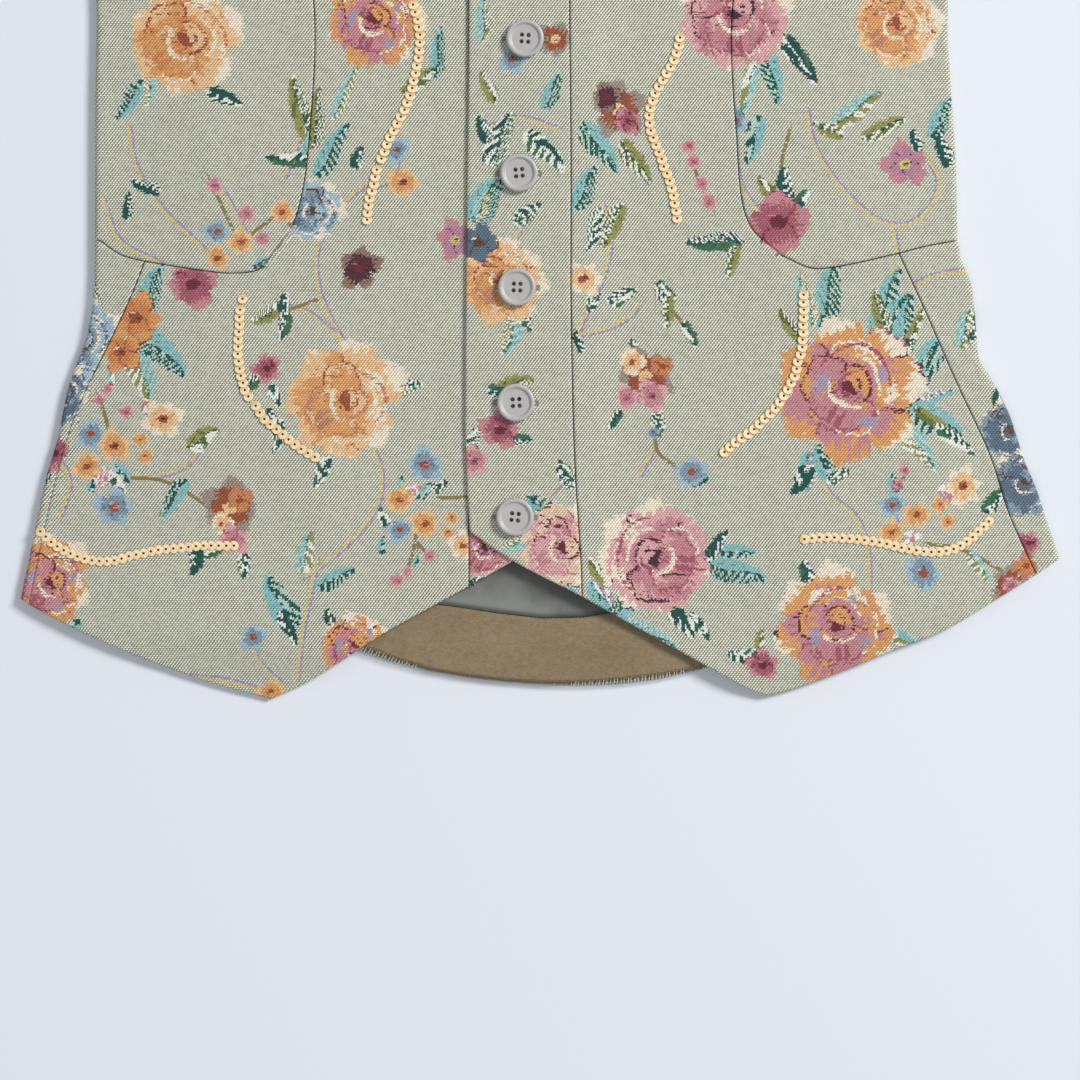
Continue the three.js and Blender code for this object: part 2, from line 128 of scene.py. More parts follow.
LEFT = {
    "outward": -1,
    "band_low": [(-32, -249), (-32, -100)],
    "band_high": [(-32, -100), (-32, 166)],
    "neck": [(-32, 166), (-58, 235), (-84, 300)],
    "shoulder": [(-84, 300), (-172, 268)],
    "armhole_high": [(-159.5, 165), (-162.5, 215), (-172, 268)],
    "armhole_low": [(-159.5, 165), (-165.5, 140), (-181, 113), (-197, 101)],
    "princess": [(-119.3, -97.5), (-112, -87), (-107.6, -74), (-103.5, -42), (-102, 15), (-114, 70),
                 (-137, 120), (-159.5, 165)],
    "waist_front": [(-32, -100), (-119.3, -97.5)],
    "waist_middle": [(-119.3, -97.5), (-126.5, -106), (-139.7, -107.9), (-153, -106.5), (-178.2, -102.5)],
    "waist_side": [(-178.2, -102.5), (-189, -99.4)],
    "diagonal": [(-230.4, -257.3), (-225.4, -232), (-218.4, -201), (-212.4, -180), (-205, -161),
                 (-196.2, -143.2), (-183.8, -117), (-178.2, -102.5)],
    "hem_inner": [(-32, -249), (-46.5, -257), (-70.5, -270.4), (-88.5, -282), (-104, -291.6), (-121.5, -300)],
    "hem_outer": [(-121.5, -300), (-146.7, -293.3), (-166, -286.5), (-190.8, -276.8), (-216.9, -264.5),
                  (-230.4, -257.3)],
    "side_low": [(-234.6, -255), (-230, -233.6), (-223.2, -201), (-217.9, -183), (-213.2, -160.5),
                 (-209, -148), (-204.8, -137), (-201.8, -120), (-201, -105), (-200.9, -93)],
    "side_high": [(-200.9, -93), (-200.7, -30), (-200.3, 15), (-203, 50), (-211, 95)],
}
UPPER_BAND = {
    "edge": [(-31.7, -224.4), (-33.1, -202), (-33.8, -183), (-33.2, -88), (-32.2, -3), (-32.5, 58)],
    "hem": [(-31.7, -224.4), (-12.9, -237.2), (18.9, -253.7)],
    "neck": [(-32.5, 58), (-17, 92), (13.3, 166)],
}
LOWER_BAND = {
    "edge": [(10, -225), (10, 60)],
    "hem": [(10, -225), (-12.6, -238), (-32, -249)],
    "neck": [(10, 60), (-4, 94), (-32, 166)],
}
BACK_HEM = [(-160, -264), (-81, -278), (-62, -284.6), (-36, -289.7), (-8.3, -292.8), (19.3, -293.7),
            (43.5, -292.2), (66, -288.2), (100, -278), (160, -260)]
FACING_SEAM = [(-219, -229), (-160, -237), (-80, -250), (-45, -257.6), (-26.6, -259.2), (-13, -262),
               (5.4, -263.4), (19.3, -262.9), (30, -260.4), (74, -252), (150, -231), (217, -209)]
BACK_NECK = [(68, 300), (40, 284), (-8, 278), (-56, 284), (-84, 300)]
BACK_ARMHOLE = [(176, 108), (165, 140), (160, 180), (161, 220), (164, 268)]
BUTTONS = [(-8, 56), (-6.75, -3), (-9.45, -63.3), (-10.35, -114.6), (-10.8, -166.4), (-11.25, -217.7)]

BUTTON_TURNS = (3, -4, 5, -2, 3, -6)
# radius and height of a button's turned rings from its dish round to its middle, and of its holes' walls
BUTTON_PROFILE = [
    (5.95, 1.82), (6.2, 1.9), (6.55, 2.22), (6.8, 2.52), (7.05, 2.66), (7.4, 2.7), (7.8, 2.66), (8.15, 2.48),
    (8.4, 2.15), (8.5, 1.75), (8.48, 1.2), (8.3, 0.75), (7.9, 0.35), (7.3, 0.08), (6.5, 0.0), (3.0, 0.0),
]
DISH_RING = 4.1
HOLE_LEVELS = [(1.14, 1.74), (0.98, 1.66), (0.92, 1.45), (0.92, 0.1)]
HOLE_SPREAD = 1.5

# cell sizes and edge rolls of the pieces that show little, and the size that cells are counted over
BACK_CELL, LINING_CELL, FACING_CELL = 1.9, 3.6, 1.3
BACK_ROLL, LINING_ROLL, FACING_ROLL = 1.4, 1.2, 1.0
BACK_WIDTH, BACK_HEIGHT = 440, 590
FACING_ROWS = 22
# rough lengths of the runs of a front, and of those at a start and an end that is a seam or an edge
FRONT_RUNS = {
    "waist_front": (95, 95, 95), "waist_middle": (92, 0, 75), "low": (158, 158, 0), "high": (268, 0, 0),
    "top": (120, 0, 140),
}
SIDE_RUNS = {"low": 160, "high": 230}
EDGE_STEP = 0.45                  # from such a seam or edge to the next row
PUCKERS = {"inset": 2.2, "width": 2.4}
SEQUIN = {"depth": 0.27, "clear": 0.12, "lean": 1.5}
HEM_LENGTH = 450
FLOOR = {"half": 3000.0, "z": -0.3}

# folds: middle x and y, direction in degrees, half length, half width, height
FOLDS = [
    (170, -135, -28, 34, 13, 0.9), (120, -200, 80, 60, 20, 0.6), (62, -235, 118, 45, 16, -0.5),
    (150, -245, 12, 48, 16, 0.55), (150, -30, 84, 55, 16, 0.5), (55, 60, 75, 70, 16, 0.55),
    (105, 210, 60, 50, 18, 0.6), (-95, -215, 95, 60, 20, 0.6), (-150, -250, -14, 50, 15, 0.5),
    (-165, -140, 35, 34, 14, 0.7), (-150, -25, 94, 60, 15, 0.5), (-75, 55, 104, 65, 17, 0.5),
    (-120, 205, 118, 50, 18, 0.6),
]
# finer creases in the same terms, on the fronts only
CREASES = [
    (181, -112, -20, 16, 4, 0.35), (168, -122, -34, 20, 5, -0.25), (186, -160, 58, 26, 5, 0.3),
    (140, -112, 4, 26, 4, -0.3), (118, -118, -38, 18, 5, 0.25), (96, -104, 66, 24, 5, -0.2),
    (-181, -118, 30, 18, 4, 0.3), (-166, -126, 22, 22, 6, -0.25), (-128, -116, -6, 28, 4, -0.3),
    (-118, -128, 48, 20, 5, 0.25), (-205, -176, 118, 24, 5, 0.3), (-60, -252, 30, 22, 5, 0.25),
    (52, -250, -30, 24, 5, 0.22), (96, -266, -58, 18, 6, -0.2), (-112, -272, 62, 20, 6, -0.22),
    (34, -150, 88, 50, 5, -0.18), (-46, -170, 92, 44, 5, -0.2), (30, 0, 86, 46, 6, -0.18),
    (-52, -30, 93, 52, 6, -0.2), (120, 40, 70, 34, 7, 0.25), (-130, 70, 112, 36, 7, 0.25),
    (90, 150, 52, 30, 6, -0.25), (-96, 160, 126, 32, 6, -0.25), (170, 60, 96, 26, 6, 0.25),
    (-180, 62, 82, 28, 6, 0.25),
]
# soft folds of the facing in the same terms, where it lies open below the fronts
FACING_FOLDS = [
    (-58, -275, 58, 9, 4, 0.45), (-44, -271, 38, 12, 5, -0.2), (-22, -276, 8, 20, 6, 0.4),
    (8, -272, -12, 16, 5, 0.35), (20, -284, 10, 18, 4, -0.2), (36, -277, -34, 10, 4, 0.4),
]

# ---------- the pattern's chart ----------
THREAD = 0.45                     # between two threads of the chart
CHART_COLUMN, CHART_TOP = 540, 15.0
PICK, PICK_HALF = 0.95, 0.45      # from one pick that is seen on its own to the next, and half of its width
FAR = 9.0                         # further from a path than its threads reach


def from_chart(column, row):
    """Millimetres in the flat cloth from a place in the chart."""
    return (column - CHART_COLUMN) * THREAD, CHART_TOP - row * THREAD


# yarns in sRGB; the first one stands for the ground weave
YARNS = {
    "ground": (190, 191, 178), "cream": (248, 234, 212), "shell": (240, 208, 184), "pink": (228, 176, 176),
    "dusty": (205, 142, 150), "rose": (172, 98, 112), "maroon": (118, 50, 62), "plum": (82, 52, 60),
    "apricot": (242, 200, 152), "orange": (228, 166, 108), "amber": (214, 140, 88), "clay": (196, 138, 112),
    "rust": (162, 88, 62), "blue": (138, 159, 176), "sky": (172, 199, 211), "slate": (98, 118, 136),
    "teal": (144, 198, 198), "mint": (190, 220, 210), "deep": (38, 88, 82), "pine": (72, 116, 86),
    "olive": (156, 156, 92), "moss": (112, 122, 68), "white": (246, 248, 236), "mauve": (186, 138, 160),
    "lilac": (178, 160, 180), "violet": (150, 130, 168), "brown": (124, 98, 66), "grey": (164, 152, 142),
    "gold": (216, 198, 124), "umber": (100, 74, 60), "taupe": (152, 122, 110),
}
YARN_NAMES = list(YARNS)

# yarns of each kind of bloom, from its heart to its edge
BLOOMS = {
    "pink": ("plum", "rose", "dusty", "pink", "cream"),
    "blushing": ("maroon", "dusty", "pink", "shell", "cream"),
    "mixed": ("maroon", "rose", "dusty", "orange", "cream"),
    "orange": ("rust", "clay", "orange", "apricot", "cream"),
    "apricot": ("rust", "amber", "orange", "apricot", "cream"),
    "slate": ("umber", "slate", "slate", "blue", "cream"),
    "haze": ("umber", "slate", "blue", "sky", "cream"),
    "blue": ("slate", "blue", "sky"),
    "small_orange": ("amber", "orange", "apricot"),
    "small_pink": ("rose", "dusty", "pink"),
    "peach": ("orange", "apricot", "cream"),
    "maroon": ("maroon", "plum", "taupe"),
    "wine": ("maroon", "rose", "dusty"),
    "mauve": ("maroon", "mauve", "dusty"),
    "brown": ("brown", "rust", "grey"),
    "clay": ("rust", "amber", "clay"),
}
# yarns of the hearts that differ from the bloom's first yarn
HEARTS = {
    "blue": "rust", "peach": "rust", "small_orange": "rust", "mauve": "gold", "brown": "apricot",
    "wine": "maroon",
}
# two halves of each kind of leaf, as pairs of yarns that are woven into each other, and its rib
LEAVES = {
    "teal": (("teal", "sky"), ("deep", "mint"), "deep"),
    "frond": (("teal", "mint"), ("olive", "white"), "pine"),
    "check": (("deep", "white"), ("pine", "white"), "deep"),
    "dark": (("deep", "pine"), ("deep", "white"), "deep"),
    "olive": (("olive", "moss"), ("moss", "white"), "deep"),
    "green": (("pine", "olive"), ("deep", "white"), "deep"),
    "blush": (("pink", "white"), ("dusty", "white"), "dusty"),
    "mist": (("lilac", "white"), ("teal", "lilac"), "deep"),
}

# pieces: FL FR fronts, SL SR side fronts, PL PR side panels, BL BR bands
# roses: column, row, radius, turn, kind
ROSES = {
    "SL": [(185, 40, 63, 20, "apricot")],
    "FL": [
        (374, 20, 52, 50, "mixed"), (347, 403, 60, 15, "orange"), (50, 583, 46, 35, "mixed"),
        (355, 645, 38, 60, "mixed"), (313, 212, 34, 0, "haze"),
    ],
    "BR": [(503, 280, 42, 30, "orange"), (563, 548, 48, 10, "blushing")],
    "BL": [(485, 548, 36, 40, "pink")],
    "FR": [
        (735, 14, 64, 70, "pink"), (655, 558, 64, 150, "pink"), (850, 388, 70, 45, "mixed"),
        (838, 626, 59, 80, "mixed"),
    ],
    "SR": [(735, 14, 64, 70, "pink"), (898, 24, 50, 15, "orange")],
    "PL": [(78, 340, 44, 10, "haze"), (62, 395, 34, 60, "slate"), (50, 583, 46, 35, "mixed")],
    "PR": [(1012, 430, 36, 20, "slate"), (1026, 482, 38, 50, "slate")],
}
# small blooms: column, row, radius, petals, turn, kind
SMALL = {
    "SL": [
        (215, 186, 9, 5, 0, "small_pink"), (246, 214, 9, 5, 20, "small_pink"), (217, 232, 13, 5, 10, "blue"),
        (241, 242, 13, 5, 40, "small_orange"), (218, 258, 12, 5, 5, "small_orange"),
        (283, 212, 12, 5, 15, "small_orange"), (262, 238, 8, 4, 0, "small_pink"),
    ],
    "FL": [
        (403, 182, 16, 5, 0, "small_orange"), (397, 150, 13, 5, 30, "blue"), (359, 268, 21, 5, 10, "maroon"),
        (267, 368, 15, 5, 40, "wine"), (192, 284, 25, 4, 20, "wine"), (136, 318, 26, 5, 0, "apricot"),
        (120, 352, 20, 5, 30, "apricot"), (163, 419, 20, 6, 10, "peach"), (90, 434, 15, 5, 0, "blue"),
        (114, 446, 16, 5, 25, "small_orange"), (87, 466, 15, 5, 50, "small_orange"),
        (140, 440, 8, 3, 0, "small_orange"), (145, 456, 8, 3, 40, "small_orange"),
        (115, 507, 20, 5, 15, "blue"), (230, 508, 28, 5, 5, "brown"), (240, 500, 13, 4, 20, "clay"),
        (222, 524, 11, 4, 0, "peach"), (234, 540, 15, 5, 30, "small_pink"), (253, 637, 13, 5, 0, "blue"),
        (425, 465, 18, 5, 20, "blue"), (400, 500, 14, 5, 10, "small_orange"), (400, 530, 13, 5, 20, "blue"),
        (425, 524, 15, 5, 0, "small_orange"), (452, 518, 7, 3, 20, "small_orange"),
        (448, 533, 7, 3, 60, "small_orange"), (397, 580, 8, 4, 0, "small_pink"),
        (408, 573, 6, 4, 0, "small_pink"), (430, 556, 7, 4, 10, "small_pink"), (463, 546, 15, 5, 10, "peach"),
        (455, 240, 20, 5, 30, "mauve"), (270, 692, 14, 4, 0, "small_orange"), (52, 455, 9, 4, 0, "wine"),
        (126, 412, 7, 3, 0, "small_pink"), (99, 400, 6, 3, 20, "small_pink"),
        (107, 388, 6, 3, 0, "small_pink"),
    ],
    "BR": [
        (500, 430, 20, 5, 10, "wine"), (474, 461, 16, 5, 30, "small_pink"), (478, 243, 20, 5, 0, "slate"),
        (512, 60, 14, 5, 0, "blue"), (555, 40, 18, 5, 0, "brown"),
    ],
    "FR": [
        (618, 110, 27, 5, 20, "brown"), (606, 98, 14, 4, 10, "maroon"), (628, 122, 13, 4, 30, "wine"),
        (689, 146, 8, 4, 0, "small_pink"), (694, 162, 8, 4, 20, "small_pink"),
        (702, 184, 8, 4, 0, "small_pink"), (709, 202, 9, 4, 10, "small_pink"), (583, 279, 18, 6, 0, "peach"),
        (645, 376, 27, 5, 35, "brown"), (632, 362, 13, 4, 0, "peach"), (662, 366, 12, 4, 30, "clay"),
        (652, 396, 16, 4, 20, "small_pink"), (626, 398, 12, 4, 10, "small_pink"),
        (692, 472, 16, 5, 15, "blue"), (893, 505, 13, 5, 20, "blue"), (917, 515, 14, 5, 0, "small_orange"),
        (892, 532, 13, 5, 30, "small_orange"), (963, 486, 19, 6, 10, "peach"),
        (940, 505, 8, 3, 0, "small_orange"), (948, 522, 8, 3, 40, "small_orange"),
        (923, 573, 19, 5, 0, "blue"), (763, 665, 16, 5, 20, "wine"), (653, 432, 6, 3, 0, "blue"),
        (1009, 584, 18, 5, 0, "brown"), (1026, 566, 13, 4, 0, "clay"), (1011, 586, 9, 4, 20, "small_pink"),
        (905, 470, 6, 3, 0, "small_pink"), (898, 484, 6, 3, 0, "small_pink"),
    ],
    "SR": [
        (778, 222, 32, 4, 10, "wine"), (905, 164, 23, 5, 30, "mauve"), (760, 262, 16, 4, 0, "blue"),
        (735, 120, 14, 4, 0, "blue"),
    ],
    "PR": [(1029, 543, 13, 5, 0, "wine"), (1026, 566, 13, 4, 0, "clay")],
    "PL": [(54, 453, 17, 4, 0, "wine")],
}
# leaves: column, row, length, width, turn, kind; the turn is where the tip points
FOLIAGE = {
    "SL": [
        (300, 108, 66, 22, 100, "olive"), (318, 135, 70, 22, 60, "teal"), (288, 160, 46, 16, 170, "green"),
        (330, 92, 56, 14, 50, "frond"), (145, 186, 34, 15, 150, "dark"), (128, 206, 30, 12, 80, "dark"),
        (225, 98, 40, 16, -30, "dark"), (130, 100, 50, 18, 230, "teal"), (150, 84, 46, 16, 260, "frond"),
        (262, 262, 22, 10, 20, "teal"),
    ],
    "FL": [
        (316, 118, 62, 20, 80, "olive"), (332, 150, 64, 22, 55, "teal"), (345, 92, 60, 14, 62, "frond"),
        (358, 158, 24, 14, 60, "dark"), (438, 52, 52, 16, 80, "teal"), (420, 80, 44, 16, 30, "olive"),
        (268, 314, 38, 17, 200, "olive"), (284, 303, 22, 12, 70, "dark"), (284, 326, 30, 15, 250, "green"),
        (250, 384, 24, 14, 200, "green"), (275, 396, 24, 12, 280, "check"), (272, 420, 26, 14, 100, "dark"),
        (278, 436, 34, 14, 255, "check"), (322, 472, 34, 16, 240, "check"), (405, 388, 40, 16, 10, "check"),
        (150, 290, 56, 26, 60, "teal"), (140, 370, 70, 30, 280, "frond"), (160, 350, 74, 30, 310, "teal"),
        (112, 300, 40, 18, 100, "dark"),
        (203, 438, 36, 22, 24, "olive"), (174, 498, 46, 20, 230, "teal"), (196, 560, 30, 18, 250, "dark"),
        (244, 566, 28, 14, 260, "check"), (213, 552, 24, 12, 200, "green"), (306, 552, 44, 20, 70, "frond"),
        (336, 578, 44, 18, 20, "teal"), (280, 602, 62, 30, 110, "teal"), (288, 628, 40, 14, 290, "dark"),
        (395, 632, 34, 14, 20, "teal"), (330, 618, 20, 12, 100, "dark"), (70, 628, 30, 12, 200, "teal"),
        (28, 560, 26, 12, 70, "dark"), (122, 473, 24, 14, 300, "teal"), (440, 486, 18, 12, 20, "check"),
        (424, 490, 22, 12, 40, "teal"), (412, 492, 22, 16, 20, "blush"), (384, 518, 24, 12, 110, "check"),
        (382, 545, 18, 10, 70, "teal"), (417, 560, 16, 8, 60, "teal"), (401, 482, 14, 8, 80, "teal"),
        (238, 700, 40, 14, 10, "frond"), (110, 375, 22, 10, 90, "frond"), (91, 485, 14, 10, 60, "teal"),
        (107, 478, 30, 20, 330, "blush"), (153, 412, 28, 18, 290, "blush"), (118, 484, 26, 12, 300, "check"),
    ],
    "BR": [
        (500, 140, 58, 26, 60, "check"), (545, 152, 56, 22, 310, "check"), (484, 130, 32, 16, 100, "dark"),
        (486, 200, 52, 34, 45, "teal"), (482, 206, 30, 16, 60, "frond"), (527, 214, 34, 18, 30, "check"),
        (512, 334, 46, 24, 240, "frond"), (522, 318, 34, 16, 300, "check"), (515, 384, 38, 18, 10, "olive"),
        (506, 396, 40, 16, 330, "green"), (474, 440, 30, 14, 60, "check"), (520, 440, 26, 14, 350, "green"),
        (566, 474, 32, 18, 110, "check"), (545, 508, 46, 22, 140, "teal"), (520, 540, 40, 20, 200, "frond"),
        (566, 590, 30, 14, 200, "teal"), (484, 20, 46, 20, 80, "frond"), (552, 92, 40, 18, 60, "teal"),
        (488, 88, 36, 14, 110, "olive"),
    ],
    "FR": [
        (600, 148, 60, 26, 300, "teal"), (636, 162, 52, 20, 300, "olive"), (585, 188, 50, 22, 60, "teal"),
        (612, 226, 50, 20, 240, "olive"), (594, 230, 46, 16, 250, "check"), (714, 242, 58, 22, 175, "green"),
        (732, 262, 38, 14, 250, "olive"), (622, 296, 32, 16, 20, "check"), (592, 302, 26, 14, 240, "check"),
        (578, 342, 24, 10, 100, "dark"), (664, 292, 26, 20, 100, "check"), (668, 312, 34, 14, 260, "olive"),
        (690, 334, 30, 12, 290, "green"), (658, 420, 34, 16, 80, "check"), (615, 420, 24, 10, 230, "dark"),
        (636, 350, 26, 12, 110, "green"), (700, 480, 22, 12, 10, "teal"), (886, 304, 76, 28, 66, "teal"),
        (893, 320, 62, 28, 55, "teal"), (924, 374, 54, 22, 38, "teal"), (934, 398, 46, 14, 16, "mist"),
        (808, 472, 40, 18, 262, "mist"), (603, 598, 44, 20, 300, "mist"), (905, 328, 66, 26, 75, "teal"),
        (930, 352, 46, 22, 40, "teal"), (914, 330, 62, 12, 62, "olive"), (898, 350, 40, 16, 30, "dark"),
        (880, 312, 46, 18, 100, "olive"), (828, 294, 70, 30, 70, "teal"), (806, 300, 56, 20, 100, "frond"),
        (790, 326, 40, 16, 120, "olive"), (930, 420, 70, 34, 330, "teal"), (938, 424, 60, 12, 322, "olive"),
        (918, 446, 60, 24, 300, "frond"), (955, 440, 50, 14, 320, "check"), (822, 462, 40, 20, 100, "teal"),
        (802, 480, 36, 18, 230, "dark"), (838, 476, 26, 14, 20, "check"), (995, 500, 34, 16, 40, "green"),
        (735, 552, 44, 18, 350, "teal"), (738, 572, 60, 26, 340, "teal"), (716, 546, 40, 14, 50, "dark"),
        (620, 610, 54, 24, 210, "teal"), (650, 636, 60, 24, 330, "frond"), (682, 622, 40, 18, 300, "dark"),
        (700, 628, 34, 14, 300, "check"), (598, 572, 34, 16, 120, "olive"), (806, 572, 24, 16, 90, "dark"),
        (744, 656, 36, 18, 160, "check"), (760, 640, 22, 12, 70, "olive"), (780, 640, 26, 12, 110, "check"),
        (979, 566, 36, 14, 300, "frond"), (906, 640, 40, 16, 330, "frond"), (894, 486, 28, 14, 90, "teal"),
        (951, 494, 26, 20, 300, "blush"), (912, 538, 20, 14, 0, "blush"),
    ],
    "SR": [
        (784, 186, 40, 20, 80, "dark"), (768, 190, 34, 16, 120, "olive"), (800, 200, 34, 14, 40, "green"),
        (858, 108, 60, 22, 30, "frond"), (884, 128, 50, 18, 20, "olive"), (940, 118, 46, 20, 60, "teal"),
        (944, 150, 36, 16, 100, "dark"), (828, 130, 34, 14, 150, "olive"), (770, 70, 70, 24, 280, "teal"),
        (800, 60, 60, 20, 300, "dark"), (748, 90, 60, 16, 250, "frond"), (916, 140, 26, 12, 100, "dark"),
        (754, 140, 50, 20, 250, "teal"),
    ],
    "PL": [
        (92, 300, 36, 20, 80, "dark"), (48, 474, 20, 10, 60, "dark"), (70, 300, 30, 12, 60, "teal"),
    ],
    "PR": [
        (966, 328, 42, 20, 70, "frond"), (978, 316, 22, 10, 75, "dark"), (974, 334, 18, 8, 50, "dark"),
        (1000, 402, 34, 16, 90, "dark"), (1022, 556, 20, 10, 200, "olive"),
    ],
    "BL": [(500, 520, 40, 20, 60, "olive"), (474, 590, 30, 14, 240, "dark")],
}
# thin twin vines and single stems: places in the chart from root to tip
VINES = {
    "SL": [[(130, 128), (134, 158), (146, 184), (168, 214), (200, 244), (222, 268)],
           [(334, 76), (322, 96), (306, 124), (296, 150), (286, 176)],
           [(217, 180), (232, 205), (246, 232)], [(104, 200), (120, 240), (160, 262)]],
    "FL": [[(286, 306), (308, 312), (326, 326), (350, 348)], [(203, 446), (188, 466), (160, 476), (128, 478)],
           [(374, 448), (382, 470), (380, 500), (362, 530), (330, 560), (304, 578)],
           [(318, 560), (312, 590), (304, 630), (298, 676)], [(253, 646), (262, 664), (280, 682)],
           [(190, 676), (226, 680), (262, 690)], [(57, 457), (66, 470), (70, 484), (66, 502), (59, 520)],
           [(126, 480), (106, 482), (90, 480)],
           [(372, 182), (352, 196), (336, 216), (318, 250), (320, 290), (345, 345)],
           [(399, 160), (392, 180), (372, 188)]],
    "BR": [[(524, 222), (516, 240), (510, 252)], [(482, 130), (520, 118), (560, 130)],
           [(560, 486), (548, 498), (540, 520)]],
    "FR": [[(604, 206), (611, 232), (608, 262), (596, 296), (584, 320), (574, 344)],
           [(659, 420), (656, 444), (640, 476)], [(896, 268), (882, 290), (872, 310)],
           [(822, 478), (832, 496), (856, 516), (868, 548), (870, 592)],
           [(893, 512), (904, 540), (918, 566)], [(640, 306), (626, 320), (604, 330), (580, 336)]],
    "SR": [[(808, 110), (812, 136), (826, 166), (850, 196), (880, 220), (906, 224), (930, 206), (938, 178),
            (922, 152)], [(893, 224), (898, 250), (900, 268)], [(734, 150), (744, 190), (762, 214)]],
    "PR": [[(908, 289), (922, 280), (946, 272), (974, 271), (990, 278)]],
}
STEMS = {
    "SL": [[(210, 180), (222, 206), (236, 236)], [(282, 212), (262, 226), (244, 240)]],
    "FL": [[(130, 478), (160, 480), (190, 494), (214, 512)], [(440, 498), (468, 497)],
           [(98, 396), (106, 420), (110, 444)], [(402, 582), (412, 556), (416, 536)],
           [(430, 556), (422, 548), (415, 540)],
           [(316, 300), (300, 306), (284, 312)]],
    "BR": [[(515, 384), (504, 404), (500, 420)]],
    "FR": [[(688, 148), (698, 178), (712, 208)], [(930, 544), (956, 548), (976, 556), (1004, 572)],
           [(906, 470), (900, 490), (894, 504)], [(664, 300), (680, 320), (692, 334)],
           [(654, 432), (658, 452), (672, 464), (690, 470)]],
    "SR": [[(790, 130), (782, 160), (780, 190)]],
}
# the part of the pattern that is repeated over the back and the upper fronts, about its own middle
REPEAT = {
    "middle": (200, -215), "columns": 370, "rows": 470, "first_row": -700, "front_end": -70, "back_end": 740,
    "roses": [(-90, -120, 62, 20, "orange"), (80, 60, 66, 45, "mixed"), (-70, 160, 58, 70, "pink")],
    "small": [
        (-10, -150, 22, 5, 10, "wine"), (20, -60, 15, 5, 0, "blue"), (-120, 20, 16, 5, 20, "small_orange"),
        (-100, 40, 15, 5, 40, "blue"), (-140, 46, 14, 5, 0, "peach"), (110, -120, 26, 5, 30, "brown"),
        (60, 180, 18, 5, 0, "small_pink"), (90, 196, 14, 5, 30, "small_orange"),
    ],
    "leaves": [
        (-20, -80, 60, 24, 330, "teal"), (-150, -60, 54, 22, 230, "frond"), (-50, -190, 46, 20, 60, "dark"),
        (150, 20, 60, 26, 20, "teal"), (140, 110, 50, 22, 320, "check"), (20, 110, 56, 24, 210, "olive"),
        (-10, 190, 50, 22, 340, "teal"), (-130, 200, 40, 18, 220, "dark"), (-60, 90, 40, 18, 110, "green"),
        (40, -20, 36, 16, 60, "olive"), (130, -160, 40, 18, 80, "check"), (-140, -190, 44, 18, 140, "olive"),
    ],
    "vines": [[(-20, -60), (10, -20), (20, 20), (40, 40)], [(-60, 100), (-100, 80), (-120, 40)],
              [(60, 130), (70, 160), (66, 190)], [(110, -100), (100, -60), (120, -20), (140, 10)]],
}

# sequin lines, as places in the chart
SEQUIN_LINES = {
    "FL": [
        [(413, 5), (418, 22), (420, 38), (418.6, 56), (414.8, 76), (409.7, 97), (400.8, 117), (389, 140),
         (381.6, 159)],
        [(376.5, 170), (374, 184), (369, 201.5), (367, 220)], [(242.7, 299), (242.7, 299.5)],
        [(240, 310), (239.4, 327), (238, 348.6), (239.4, 367), (245, 390), (248.5, 396.6)],
        [(255.6, 406), (266, 420.5), (284.7, 435.8), (301.5, 449.6), (315, 457)],
        [(39.8, 531.6), (50.5, 541.4), (64, 550.6), (79.6, 557.6), (98, 561.3), (113, 560.4), (131.6, 555.8),
         (153, 551), (177.5, 548), (202, 546), (234, 545.4)],
    ],
    "FR": [
        [(680, 38), (675.7, 55.7), (667, 73), (658, 88), (651.7, 102.7), (649, 117), (652, 135), (658, 149.6),
         (664, 167), (669.9, 182), (674, 199.5), (677, 218.5)],
        [(803, 295), (803.5, 309), (803, 327), (802.4, 342.4), (801, 352.6), (797, 364), (795, 375.6),
         (790, 384.5), (783.8, 396), (775, 408), (755, 428), (735, 443), (724, 452)],
        [(804, 539), (818, 537.6), (833.6, 537.6), (848.9, 538.4), (864, 540), (882, 542.7), (897, 546.5),
         (912.6, 549.6), (928, 552), (943, 551.6), (958.6, 546.5), (968.8, 540), (979, 531), (989, 521.5)],
    ],
}

# ---------- settings ----------
def srgb(*levels):
    """Linear colour from sRGB levels of 0 to 255."""
    scaled = [level / 255 for level in levels]
    return tuple(s / 12.92 if s <= 0.04045 else ((s + 0.055) / 1.055) ** 2.4 for s in scaled)


def length_setting(name, description, default, **limits):
    return bpy.props.FloatProperty(
        name=name, description=description, default=default, subtype="DISTANCE", **limits)


def colour_setting(name, description, *levels):
    return bpy.props.FloatVectorProperty(
        name=name, description=description, size=3, subtype="COLOR", default=srgb(*levels))


class ClothSettings(bpy.types.PropertyGroup):
    """How the cloth is meshed and woven."""

    cell: length_setting(
        "Cell", "Size of the cells that the cloth is meshed in", 0.95 * MM, min=0.8 * MM, max=4 * MM)
    roll: length_setting(
        "Edge roll", "Width over which a seam or cut edge rolls down", 0.7 * MM, min=0.2 * MM, max=2 * MM)
    turn_under: length_setting(
        "Turn under", "Width of the edge that is turned under", 1.8 * MM, min=0, max=4 * MM)
    relief: bpy.props.FloatProperty(
        name="Weave relief", description="Strength of the weave's bump", default=0.35, min=0, max=1,
        subtype="FACTOR")


